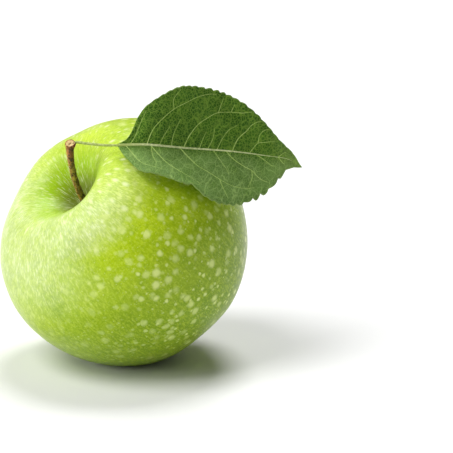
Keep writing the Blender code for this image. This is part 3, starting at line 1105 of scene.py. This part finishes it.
@dataclass
class Stem:
    """The woody stem: thicker at its foot and at its cut end, with ridged bark and a small spur."""

    pose: Pose
    foot_level: float = 13.3
    floor_level: float = 16.0
    route_points: tuple[Spot, ...] = (
        (-10.1, -7.9, 54.6), (-11.7, -10.3, 59.7), (-12.6, -12.2, 64.3), (-13.0, -13.9, 68.6),
        (-12.9, -15.8, 73.2),
    )
    radii: tuple[float, ...] = (1.4, 1.15, 1.0, 0.98, 1.0, 1.08, 1.3)
    rows: int = 150
    sides: int = 36
    ridge: float = 0.08
    ridges_round: float = 3.2
    ridges_along: float = 5.0
    lump: float = 0.12
    flare: float = 0.16
    flare_zone: tuple[float, float] = (0.965, 0.035)
    slant: float = 0.5
    slant_zone: tuple[float, float] = (0.95, 0.05)
    slant_side: Spot = (0.3, 1.0, 0.0)
    spur_share: float = 0.975
    spur_turn_to: Spot = (-8.0, -15.8, 73.1)
    spur_height: float = 0.55
    spur_spread: float = 0.75
    spur_shortness: float = 20.0
    cut_steps: tuple[tuple[float, float], ...] = ((0.14, 0.05), (0.3, -0.1), (0.35, 0.04))

    @cached_property
    def route(self) -> Route:
        """The stem's middle line, from inside the fruit to the cut end."""
        inside = [self.pose.matrix @ Vector((0, 0, level)) for level in (self.foot_level, self.floor_level)]
        return Route(tuple(tuple(point) for point in inside) + self.route_points)

    def radius(self, share: float) -> float:
        """The stem's radius at a share of its length."""
        return Table.even(self.radii).at(share)

    def surface(self, share: float, turn: float) -> Vector:
        """A point of the bark.

        Args:
            share: the share of the stem's length.
            turn: the turn round the stem.

        Returns:
            The point, in millimetres.
        """
        centre, ahead = self.route.at(share), self.route.ahead(share)
        side = ahead.cross(Vector((0, 1, 0))).normalized()
        out = side * math.cos(turn) + ahead.cross(side) * math.sin(turn)
        radius = self.radius(share)
        ridges = noise.noise(Vector((math.cos(turn) * self.ridges_round, math.sin(turn) * self.ridges_round,
                                     share * self.ridges_along)))
        lumps = noise.noise(centre * 0.8 + out * 1.4)
        spur = (self.route.at(self.spur_share) + out * radius) - self.spur_point
        from_spur = spur.length + abs(share - self.spur_share) * self.spur_shortness
        bulge = self.spur_height * math.exp(-(from_spur / self.spur_spread) ** 2)
        flare = self.flare * smooth((share - self.flare_zone[0]) / self.flare_zone[1])
        slant = self.slant * smooth((share - self.slant_zone[0]) / self.slant_zone[1])
        slant *= out.dot(Vector(self.slant_side).normalized())
        radius = radius + ridges * self.ridge + lumps * self.lump + bulge + flare
        return centre + out * radius + ahead * slant

    @cached_property
    def spur_point(self) -> Vector:
        """Where the leaf's stalk meets the bark."""
        centre, ahead = self.route.at(self.spur_share), self.route.ahead(self.spur_share)
        towards = Vector(self.spur_turn_to) - centre
        return centre + (towards - ahead * towards.dot(ahead)).normalized() * self.radius(self.spur_share)

    def build(self, bark: BarkFinish, cut: CutFinish) -> bpy.types.Object:
        """Roll up the bark, close it and step its cut end.

        Args:
            bark: the finish of its side.
            cut: the finish of its cut end.

        Returns:
            The finished stem.
        """
        bm = wrap_sheet(self.rows, self.sides, self.surface)
        along_layer = bm.verts.layers.float["along"]
        out_layer = bm.verts.layers.float["out"]
        rims = [edge for edge in bm.edges if edge.is_boundary]
        caps = bmesh.ops.holes_fill(bm, edges=rims, sides=0)["faces"]
        ahead = self.route.ahead(1.0)
        top = next(face for face in caps if face.verts[0][along_layer] > 0.5)
        top.material_index = 1
        out = 1.0
        for inset, rise in self.cut_steps:
            result = bmesh.ops.inset_individual(bm, faces=[top], thickness=inset * self.radii[-1], depth=0.0)
            for face in result["faces"]:
                face.material_index = 1 if out < 1.0 else 0
            out -= inset
            bmesh.ops.translate(bm, verts=top.verts, vec=ahead * rise)
            for vert in top.verts:
                vert[out_layer] = out
        poked = bmesh.ops.poke(bm, faces=[top])
        for vert in poked["verts"]:
            vert[out_layer] = 0.0
        bmesh.ops.recalc_face_normals(bm, faces=bm.faces)
        return Piece("apple_stem", Slot.BARK, [bark, cut], [Node.STEM]).finish(bm)


Vein = tuple[tuple[float, float], ...]


@dataclass
class Leaf:
    """The leaf: a folded, waved and toothed blade with its veins, midrib and stalk.

    A place on the blade is named by its share of the midrib, and by how far it is across: 1 is the upper
    margin and -1 the lower one.
    """

    facing: Spot = (0.0, -0.970, 0.242)
    midrib: Route = Route((
        (1.7, -17.0, 72.8), (10.5, -17.6, 73.0), (21.6, -13.9, 71.3), (36.2, -8.6, 69.2), (47.6, -5.0, 67.0),
        (53.7, -3.5, 65.7), (58.0, -3.0, 63.0),
    ))
    stalk_route: tuple[Spot, ...] = (
        (-11.2, -15.2, 73.35), (-8.0, -15.6, 73.1), (-2.8, -16.4, 72.75), (1.7, -17.0, 72.8),
    )
    upper: Table = Table((
        (0.00, 0.3, 8), (0.06, 2.8, 8), (0.12, 10.2, 9), (0.20, 15.0, 10), (0.30, 18.4, 10), (0.42, 18.9, 9),
        (0.55, 17.5, 7), (0.68, 13.7, 5), (0.80, 8.3, 3), (0.90, 3.2, 2), (0.96, 1.0, 0), (1.00, 0.0, 0),
    ))
    lower: Table = Table((
        (0.00, 0.3, 30), (0.05, 5.6, 40), (0.12, 11.2, 45), (0.22, 13.0, 48), (0.34, 15.6, 46),
        (0.44, 17.0, 38), (0.55, 18.1, 28), (0.66, 17.3, 21), (0.76, 14.2, 16), (0.86, 8.3, 12),
        (0.94, 2.6, 8), (1.00, 0.0, 0),
    ))
    teeth: int = 27
    lower_teeth_share: float = 0.85
    upper_teeth: Table = Table((
        (0.0, 0.0), (0.08, 0.25), (0.2, 0.35), (0.35, 0.55), (0.6, 0.6), (0.8, 0.5), (1.0, 0.3),
    ))
    lower_teeth: Table = Table((
        (0.0, 0.0), (0.1, 0.2), (0.3, 0.3), (0.5, 0.6), (0.7, 1.3), (0.9, 1.9), (1.0, 0.3),
    ))
    lower_swell: Table = Table((
        (0.0, 0.0), (0.22, 0.0), (0.30, -0.1), (0.37, -0.6), (0.405, -1.3), (0.44, -0.5), (0.48, 0.1),
        (0.6, 0.0), (1.0, 0.0),
    ))
    lower_lift: Table = Table(((0.0, 0.0), (0.1, 0.5), (0.25, 1.6), (0.6, 1.6), (0.8, 0.6), (1.0, 0.0)))
    tooth_zone: tuple[float, float] = (0.8, 0.2)
    tooth_full_width: float = 6.0
    tooth_lean: float = 1.7
    tooth_bluntness: float = 0.6
    tooth_middle: float = 0.5
    wave_height: float = 0.9
    waves: float = 3.2
    wave_start: float = 1.1
    columns: int = 270
    rows: int = 64
    thickness: float = 0.36
    quilt: float = 0.3
    quilt_width: float = 1.1
    rib_radii: tuple[float, ...] = (0.22, 0.15, 0.125, 0.1, 0.06)
    under_rib_radii: tuple[float, ...] = (0.62, 0.52, 0.42, 0.32, 0.18)
    stalk_radii: tuple[float, ...] = (0.42, 0.42, 0.41, 0.4, 0.36)
    vein_radius: float = 0.115
    main_vein: float = 1.25
    side_vein: float = 0.85
    under_vein: float = 1.3
    main_vein_points: int = 6
    rib_end: float = 0.985
    rib_steps: int = 60
    stalk_steps: int = 40
    stalk_sink: float = 0.1
    normal_step: float = 0.01
    weld: float = 0.01
    upper_veins: tuple[Vein, ...] = (
        ((0.05, 0.02), (0.09, 0.45), (0.115, 0.68), (0.14, 0.88)),
        ((0.145, 0.0), (0.175, 0.35), (0.215, 0.51), (0.275, 0.65), (0.345, 0.74), (0.41, 0.84), (0.48, 0.92),
         (0.52, 0.94)),
        ((0.275, 0.65), (0.27, 0.83), (0.305, 0.96)),
        ((0.21, 0.0), (0.23, 0.18), (0.26, 0.36)),
        ((0.275, 0.0), (0.283, 0.22), (0.315, 0.47)),
        ((0.34, 0.0), (0.37, 0.21), (0.415, 0.40), (0.46, 0.51), (0.515, 0.63), (0.58, 0.71), (0.64, 0.80),
         (0.69, 0.95)),
        ((0.52, 0.63), (0.53, 0.76), (0.545, 0.92)),
        ((0.585, 0.72), (0.60, 0.88)),
        ((0.425, 0.0), (0.445, 0.18), (0.46, 0.29)),
        ((0.47, 0.0), (0.495, 0.17), (0.505, 0.36)),
        ((0.52, 0.0), (0.555, 0.25), (0.58, 0.38), (0.625, 0.53)),
        ((0.605, 0.0), (0.63, 0.25), (0.67, 0.47), (0.695, 0.66), (0.73, 0.86), (0.755, 0.97)),
        ((0.70, 0.0), (0.725, 0.20), (0.74, 0.31), (0.78, 0.44), (0.835, 0.70)),
        ((0.74, 0.31), (0.745, 0.55), (0.77, 0.80), (0.795, 0.95)),
        ((0.86, 0.0), (0.88, 0.31), (0.895, 0.58)),
    )
    lower_veins: tuple[Vein, ...] = (
        ((0.035, 0.0), (0.075, -0.45), (0.12, -0.67), (0.185, -0.76), (0.25, -0.80)),
        ((0.165, 0.0), (0.215, -0.32), (0.265, -0.55), (0.325, -0.67), (0.385, -0.74), (0.45, -0.80)),
        ((0.17, -0.06), (0.185, -0.40), (0.205, -0.60)),
        ((0.32, 0.0), (0.365, -0.21), (0.425, -0.41), (0.49, -0.49), (0.545, -0.56), (0.62, -0.65),
         (0.75, -0.74)),
        ((0.545, -0.56), (0.57, -0.72), (0.605, -0.89)),
        ((0.50, 0.0), (0.545, -0.20), (0.58, -0.34), (0.60, -0.45)),
        ((0.57, 0.0), (0.615, -0.14), (0.675, -0.26), (0.725, -0.35), (0.755, -0.48), (0.815, -0.74)),
        ((0.725, -0.35), (0.73, -0.52), (0.715, -0.68)),
        ((0.74, 0.0), (0.795, -0.14), (0.835, -0.32)),
        ((0.86, 0.0), (0.90, -0.35)),
    )
    stations: dict[float, tuple[Vector, Vector, Vector]] = field(default_factory=dict)

    def station(self, share: float) -> tuple[Vector, Vector, Vector]:
        """A place on the midrib, kept once it is worked out.

        Args:
            share: the share of the midrib.

        Returns:
            Its point, its direction and the direction across the upper half.
        """
        if share not in self.stations:
            ahead = self.midrib.ahead(share)
            side = Vector(self.facing).cross(ahead).normalized()
            self.stations[share] = (self.midrib.at(share), ahead, side)
        return self.stations[share]

    def half(self, across: float) -> Table:
        """The table of the half that a place is on."""
        return self.upper if across > 0 else self.lower

    def point(self, share: float, across: float) -> Vector:
        """A place on the blade without its teeth or relief.

        Args:
            share: the share of the midrib.
            across: how far it is across the half.

        Returns:
            The point, in millimetres.
        """
        centre, _, side = self.station(share)
        half = self.half(across)
        reach = across * max(half.at(share), 0.0)
        rise = math.radians(half.at(share, 2))
        phase = TURN * (self.waves * share + self.wave_start * across)
        wave = self.wave_height * across ** 2 * math.sin(math.pi * share) * math.sin(phase)
        if across < 0:
            wave += self.lower_lift.at(share) * across ** 2
        lift = abs(reach) * math.sin(rise) + wave
        return centre + side * (reach * math.cos(rise)) + Vector(self.facing) * lift

    def tooth(self, share: float, across: float) -> Vector:
        """How far the toothed margin stands out at a place.

        Args:
            share: the share of the midrib.
            across: how far the place is across the half.

        Returns:
            The shift, in millimetres.
        """
        side = self.station(share)[2]
        edge = smooth((abs(across) - self.tooth_zone[0]) / self.tooth_zone[1])
        if edge == 0.0:
            return Vector()
        teeth = self.teeth * (1.0 if across > 0 else self.lower_teeth_share)
        place = share * teeth + 0.35 * noise.noise(Vector((share * 9, math.copysign(4.0, across), 0.0)))
        width = min(max(self.half(across).at(share), 0.0) / self.tooth_full_width, 1.0)
        size = 0.75 + 0.6 * noise.noise(Vector((math.floor(place) * 1.7, math.copysign(3.0, across), 0.5)))
        depth = (self.upper_teeth if across > 0 else self.lower_teeth).at(share)
        bump = math.sin(math.pi * (place % 1.0) ** self.tooth_lean) ** self.tooth_bluntness
        out = (bump - self.tooth_middle) * depth * width * size
        if across < 0:
            out += self.lower_swell.at(share)
        return side * (math.copysign(1.0, across) * out * edge)

    def normal(self, share: float, across: float) -> Vector:
        """The blade's own normal, on the side of its upper face.

        Args:
            share: the share of the midrib.
            across: how far the place is across the half.

        Returns:
            The normal.
        """
        step = self.normal_step
        low, high = max(share - step, 0.0), min(share + step, 0.995)
        ahead = self.point(high, across) - self.point(low, across)
        over = self.point(share, min(across + step, 1.0)) - self.point(share, max(across - step, -1.0))
        normal = ahead.cross(over).normalized()
        return normal if normal.dot(Vector(self.facing)) > 0 else -normal

    def flat(self, share: float, across: float) -> Vector:
        """A place on the blade laid out flat, in millimetres."""
        return Vector((share * self.midrib.places[-1], across * max(self.half(across).at(share), 0.0), 0.0))

    @cached_property
    def vein_tree(self) -> KDTree:
        """Points along every vein and the midrib, laid out flat, to find the nearest by."""
        spots = [self.flat(step / 300, 0.0) for step in range(301)]
        for vein in self.upper_veins + self.lower_veins:
            route = Route(vein)
            spots += [self.flat(*route.at(step / 60)) for step in range(61)]
        tree = KDTree(len(spots))
        for index, spot in enumerate(spots):
            tree.insert(spot, index)
        tree.balance()
        return tree

    def relief(self, share: float, across: float) -> tuple[float, float]:
        """Raise the blade between its veins.

        Args:
            share: the share of the midrib.
            across: how far the place is across the half.

        Returns:
            How far it is raised, and how far the nearest vein is.
        """
        distance = self.vein_tree.find(self.flat(share, across))[2]
        edge = 1 - smooth((abs(across) - 0.85) / 0.15) * 0.6
        rise = 1 - math.exp(-((distance / self.quilt_width) ** 2))
        return self.quilt * edge * rise - self.quilt / 2, distance

    def blade_mesh(self) -> bmesh.types.BMesh:
        """Shape the blade from a flat sheet.

        Returns:
            The open sheet, with the attributes blade, margin and vein.
        """
        bm = bmesh.new()
        bmesh.ops.create_grid(bm, x_segments=self.columns, y_segments=self.rows, size=0.5)
        blade_layer = bm.verts.layers.float_vector.new("blade")
        margin_layer = bm.verts.layers.float.new("margin")
        vein_layer = bm.verts.layers.float.new("vein")
        for vert in bm.verts:
            share = round((vert.co.x + 0.5) * self.columns) / self.columns
            across = vert.co.y * 2
            raised, distance = self.relief(share, across)
            taper = smooth(self.half(across).at(share) / 3)
            vert[blade_layer] = self.flat(share, across)
            vert[margin_layer] = abs(across)
            vert[vein_layer] = distance
            vert.co = self.point(share, across) + self.tooth(share, across)
            vert.co += self.normal(share, across) * (raised * taper)
        bmesh.ops.remove_doubles(bm, verts=bm.verts, dist=self.weld)
        bmesh.ops.recalc_face_normals(bm, faces=bm.faces)
        face = bm.faces[:][len(bm.faces) // 2]
        if face.normal.dot(Vector(self.facing)) < 0:
            bmesh.ops.reverse_faces(bm, faces=bm.faces)
        return bm

    def vein_line(self, vein: Vein, side: float, radius: float) -> Thread:
        """One vein's middle line and radii on a face of the blade.

        Args:
            vein: its places on the blade.
            side: 1 for the upper face, -1 for the under face.
            radius: its radius at its root.

        Returns:
            Its points, each with its radius.
        """
        route = Route(vein)
        steps = max(int(len(vein) * 7), 12)
        line = []
        for step in range(steps + 1):
            part = step / steps
            share, across = route.at(part)
            raised, _ = self.relief(share, across)
            lift = raised + side * (self.thickness / 2 - radius * 0.1)
            spot = self.point(share, across) + self.normal(share, across) * lift
            line.append((spot, radius * (1.05 - 0.6 * part)))
        return line

    def rib_line(self, side: float, radii: tuple[float, ...], sink: float) -> Thread:
        """The midrib's middle line on a face of the blade.

        Args:
            side: 1 for the upper face, -1 for the under face.
            radii: its radii, from the stalk to the tip.
            sink: how deep it is sunk, as a share of its radius.

        Returns:
            Its points, each with its radius.
        """
        line = []
        table = Table.even(radii)
        for step in range(self.rib_steps + 1):
            share = self.rib_end * step / self.rib_steps
            radius = table.at(step / self.rib_steps)
            lift = side * (self.thickness / 2 - radius * sink) - self.quilt / 2
            line.append((self.point(share, 0.0) + self.normal(share, 0.01) * lift, radius))
        return line

    def stalk_line(self, foot: Vector) -> Thread:
        """The stalk's middle line, from the stem to the blade.

        Args:
            foot: where it meets the stem.

        Returns:
            Its points, each with its radius.
        """
        route = Route((tuple(foot), *self.stalk_route))
        table = Table.even(self.stalk_radii)
        sunk = Vector(self.facing) * -self.stalk_sink
        parts = [step / self.stalk_steps for step in range(self.stalk_steps + 1)]
        return [(route.at(part) + sunk * part, table.at(part)) for part in parts]

    def build(self, foot: Vector, top: BladeFinish, under: BladeFinish, veins: VeinFinish, rib: VeinFinish,
              stalk: VeinFinish) -> None:
        """Build the blade, the veins, the midrib and the stalk.

        Args:
            foot: where the stalk meets the stem.
            top: the finish of the upper face.
            under: the finish of the under face.
            veins: the finish of the veins.
            rib: the finish of the midrib.
            stalk: the finish of the stalk.
        """
        Piece("leaf_blade", Slot.LEAF, [top, under], [Node.LEAF]).finish(self.blade_mesh(), self.thickness)
        lines = []
        for vein in self.upper_veins + self.lower_veins:
            weight = self.main_vein if len(vein) >= self.main_vein_points else self.side_vein
            width = self.vein_radius * weight
            lines.append(self.vein_line(vein, 1.0, width))
            lines.append(self.vein_line(vein, -1.0, width * self.under_vein))
        ribs = [self.rib_line(1.0, self.rib_radii, 0.5), self.rib_line(-1.0, self.under_rib_radii, 0.4)]
        for name, finish, threads, resolution in (
            ("leaf_veins", veins, lines, 1), ("leaf_midrib", rib, ribs, 4),
            ("leaf_stalk", stalk, [self.stalk_line(foot)], 4),
        ):
            Piece(name, Slot.LEAF, [finish]).finish(thread_lines(name, threads, resolution))


def thread_lines(name: str, lines: Sequence[Thread], resolution: int) -> bmesh.types.BMesh:
    """Round threads of varying thickness along lines, with closed ends.

    Args:
        name: the name for the curve that they come from.
        lines: each thread's points, in millimetres, with their radii.
        resolution: the curve's bevel resolution.

    Returns:
        The threads' mesh, in millimetres.
    """
    curve = bpy.data.curves.new(name, "CURVE")
    curve.dimensions = "3D"
    curve.bevel_depth = 1.0
    curve.bevel_resolution = resolution
    curve.use_fill_caps = True
    for line in lines:
        spline = curve.splines.new("POLY")
        spline.points.add(len(line) - 1)
        for point, (spot, radius) in zip(spline.points, line):
            point.co = (*spot, 1.0)
            point.radius = radius
    guide = add_object(f"{name}_guide", curve)
    mesh = bpy.data.meshes.new_from_object(guide.evaluated_get(bpy.context.evaluated_depsgraph_get()))
    bpy.data.objects.remove(guide, do_unlink=True)
    bm = bmesh.new()
    bm.from_mesh(mesh)
    bpy.data.meshes.remove(mesh)
    bmesh.ops.remove_doubles(bm, verts=bm.verts, dist=THREAD_WELD)
    bmesh.ops.recalc_face_normals(bm, faces=bm.faces)
    return bm


@dataclass
class Calyx:
    """The dried calyx in the basin: five withered sepals, a tuft of stamens and fine hairs on a low core."""

    pose: Pose
    fruit: Fruit
    pit_depth: float = 1.4
    core_radius: float = 3.5
    core_height: float = 1.5
    core_width: float = 0.93
    core_flatness: float = 0.8
    core_lumps: float = 0.12
    sepals: int = 5
    sepal_length: float = 6.2
    sepal_width: float = 2.5
    sepal_tip_width: float = 0.45
    sepal_thickness: float = 0.35
    root_radius: float = 2.3
    root_height: float = 0.9
    lean: float = math.radians(42)
    curl: float = math.radians(78)
    stamens: int = 14
    stamen_length: float = 3.6
    hairs: int = 220
    seed: int = 11

    @cached_property
    def place(self) -> Matrix:
        """From the calyx's own frame to the resting frame. In its own, it grows down from the origin."""
        level = self.fruit.profile(math.pi)[1] + self.pit_depth - 0.3
        return self.pose.matrix @ Matrix.Translation((0, 0, level))

    def sepal_point(self, share: float, across: float, twist: float, bend: float) -> Vector:
        """A place on a sepal, in the calyx's own frame.

        Args:
            share: the share of its length.
            across: how far it is across, from -1 to 1.
            twist: how far this sepal turns aside.
            bend: how much more than usual this sepal curls.

        Returns:
            The point, in millimetres.
        """
        curl = self.curl * bend
        angle = self.lean - curl * share
        out = self.root_radius + self.sepal_length * (math.cos(angle) - math.cos(self.lean)) / curl
        down = self.root_height + self.sepal_length * (math.sin(self.lean) - math.sin(angle)) / curl
        width = (self.sepal_width * (1 - share ** 2) + self.sepal_tip_width) / 2
        crumple = noise.noise(Vector((share * 3.1, across * 1.3, twist * 7.0))) * 0.5
        fold = 0.55 * across ** 2 * (1 + share)
        side = across * width * (1 - 0.25 * abs(crumple))
        return Vector((out - fold + crumple, side + twist * share * 1.2, -down + crumple * 0.4))

    def build(self, finish: DryFinish) -> None:
        """Build the sepals, and the core with its stamens and hairs.

        Args:
            finish: the dried pieces' finish.
        """
        rng = random.Random(self.seed)
        sheet = bmesh.new()
        hair_roots = []
        for number in range(self.sepals):
            made = bmesh.ops.create_grid(sheet, x_segments=18, y_segments=8, size=0.5)["verts"]
            turn = Matrix.Rotation(TURN * number / self.sepals + self.fruit.calyx_lobe_angle, 3, "Z")
            twist, bend = rng.uniform(-0.8, 0.8), rng.uniform(0.8, 1.35)
            for vert in made:
                vert.co = turn @ self.sepal_point(vert.co.x + 0.5, vert.co.y * 2, twist, bend)
            hair_roots += [vert.co.copy() for vert in rng.sample(made, self.hairs // self.sepals)]
        bmesh.ops.recalc_face_normals(sheet, faces=sheet.faces)
        bmesh.ops.transform(sheet, matrix=self.place, verts=sheet.verts)
        Piece("calyx_sepals", Slot.CALYX, [finish], [Node.CALYX]).finish(sheet, self.sepal_thickness)

        lines = [self.stamen_line(rng) for _ in range(self.stamens)]
        lines += [self.hair_line(root, rng) for root in hair_roots]
        threads = thread_lines("calyx_tuft", lines, 0)
        core = bmesh.ops.create_uvsphere(threads, u_segments=28, v_segments=14, radius=1.0)["verts"]
        for vert in core:
            lump = 1 + self.core_lumps * noise.noise(vert.co * 2.3)
            width = self.core_radius * self.core_width
            vert.co = Vector((vert.co.x * width, vert.co.y * width, vert.co.z)) * lump
            vert.co.z = (vert.co.z - 1) * self.core_height * self.core_flatness
        bmesh.ops.recalc_face_normals(threads, faces=threads.faces)
        bmesh.ops.transform(threads, matrix=self.place, verts=threads.verts)
        Piece("calyx_tuft", Slot.CALYX, [finish]).finish(threads)

    def stamen_line(self, rng: random.Random) -> Thread:
        """One dried stamen: a bent thread with a thicker tip, in the calyx's own frame.

        Args:
            rng: the source of its chances.

        Returns:
            Its points, each with its radius.
        """
        turn, lean = rng.uniform(0, TURN), rng.uniform(0.05, 0.5)
        root = Vector((math.cos(turn), math.sin(turn), 0)) * rng.uniform(0.3, 1.4)
        out = Vector((math.cos(turn), math.sin(turn), 0)) * math.sin(lean)
        line = []
        for step in range(9):
            part = step / 8
            bend = Vector((-out.y, out.x, 0)) * math.sin(part * 3) * 0.6
            spot = root + (out + bend * 0.5) * self.stamen_length * part
            spot.z = -self.core_height - self.stamen_length * part * math.cos(lean)
            line.append((spot, 0.3 if step > 6 else 0.16))
        return line

    def hair_line(self, root: Vector, rng: random.Random) -> Thread:
        """One fine hair on a sepal, in the calyx's own frame.

        Args:
            root: where it grows.
            rng: the source of its chances.

        Returns:
            Its points, each with its radius.
        """
        aim = Vector((rng.uniform(-1, 1), rng.uniform(-1, 1), rng.uniform(-1, 0.4))).normalized()
        length = rng.uniform(0.5, 1.1)
        end = root + aim * length + Vector((0, 0, -0.15))
        return [(root, 0.05), (root + aim * length * 0.5, 0.04), (end, 0.015)]


@dataclass(frozen=True)
class Lamp:
    """A soft, far light: the direction that it comes from, how wide it is in the sky and how strong."""

    name: str
    place: Spot
    width: float
    power: float


@dataclass
class Studio:
    """The camera, the soft lights, the white surround and the pale floor."""

    pose: Pose
    elevation: float = math.radians(14)
    camera_from_fruit: Spot = (34.163, -532.584, 135.918)
    focal_length: float = 138.2
    sensor: float = 36.0
    floor_size: float = 8.0
    surround: float = 0.12
    backdrop: float = 1.0
    lamps: tuple[Lamp, ...] = (
        Lamp("left", (-0.92, -0.36, 0.34), math.radians(30), 1.2),
        Lamp("key", (-0.56, -0.32, 0.95), math.radians(34), 2.0),
        Lamp("top", (0.12, 0.40, 1.0), math.radians(24), 2.0),
        Lamp("rim", (-0.62, 0.72, 0.3), math.radians(60), 0.3),
    )

    def build(self) -> None:
        """Set up the camera, the lights, the surround and the floor."""
        bpy.context.scene.view_settings.view_transform = "Standard"
        self.build_camera()
        self.build_lamps()
        self.build_surround()
        self.build_floor(FloorFinish())

    def build_camera(self) -> None:
        """Aim the camera from the photo's side."""
        lens = bpy.data.cameras.new("camera")
        lens.lens = self.focal_length
        lens.sensor_width = self.sensor
        lens.sensor_fit = "HORIZONTAL"
        lens.clip_start = 0.01
        camera = add_object("camera", lens)
        camera.location = (Vector(self.pose.centre) + Vector(self.camera_from_fruit)) * MM
        camera.rotation_euler = (math.pi / 2 - self.elevation, 0.0, 0.0)
        bpy.context.scene.camera = camera

    def build_lamps(self) -> None:
        """Hang the soft lights."""
        for lamp in self.lamps:
            light = bpy.data.lights.new(lamp.name, "SUN")
            light.angle = lamp.width
            light.energy = lamp.power
            holder = add_object(lamp.name, light)
            holder.location = lamp.place
            holder.rotation_euler = (-Vector(lamp.place)).to_track_quat("-Z", "Y").to_euler()

    def build_surround(self) -> None:
        """Make a dim white surround that the camera sees as plain white."""
        world = bpy.data.worlds.new("surround")
        world.use_nodes = True
        graph = Graph(world.node_tree)
        backdrop = world.node_tree.nodes["Background"].inputs
        backdrop["Color"].default_value = (1.0, 1.0, 1.0, 1.0)
        seen = graph.add("ShaderNodeLightPath").outputs["Is Camera Ray"]
        graph.feed(backdrop["Strength"], graph.spread(seen, self.surround, self.backdrop))
        bpy.context.scene.world = world

    def build_floor(self, finish: FloorFinish) -> None:
        """Lay the floor that the fruit rests on.

        Args:
            finish: the floor's finish.
        """
        bm = bmesh.new()
        bmesh.ops.create_grid(bm, x_segments=4, y_segments=4, size=self.floor_size / 2)
        mesh = bpy.data.meshes.new("floor")
        bm.to_mesh(mesh)
        bm.free()
        mesh.materials.append(finish.material)
        add_object("floor", mesh)


def main() -> None:
    """Build the studio and every piece of the apple."""
    logging.basicConfig(level=logging.INFO, format="%(message)s")
    pose = Pose()
    Studio(pose).build()
    fruit = Fruit(pose)
    fruit.build(SkinFinish(whole_arc=fruit.whole_arc))
    stem = Stem(pose)
    stem.build(BarkFinish(), CutFinish())
    under = BladeFinish(name="leaf under face", roughness=0.7, base=(0.13, 0.24, 0.06),
                        light=(0.20, 0.32, 0.10), line=(0.30, 0.42, 0.16), net_strength=0.5)
    rib = VeinFinish(name="leaf midrib", green=(0.46, 0.54, 0.21), pale=(0.70, 0.76, 0.38),
                     root_end=(13.0, 1.0))
    stalk = VeinFinish(name="leaf stalk", green=(0.25, 0.33, 0.05), pale=(0.45, 0.53, 0.16))
    Leaf().build(stem.spur_point, BladeFinish(), under, VeinFinish(), rib, stalk)
    Calyx(pose, fruit).build(DryFinish())


if __name__ == "__main__":
    main()
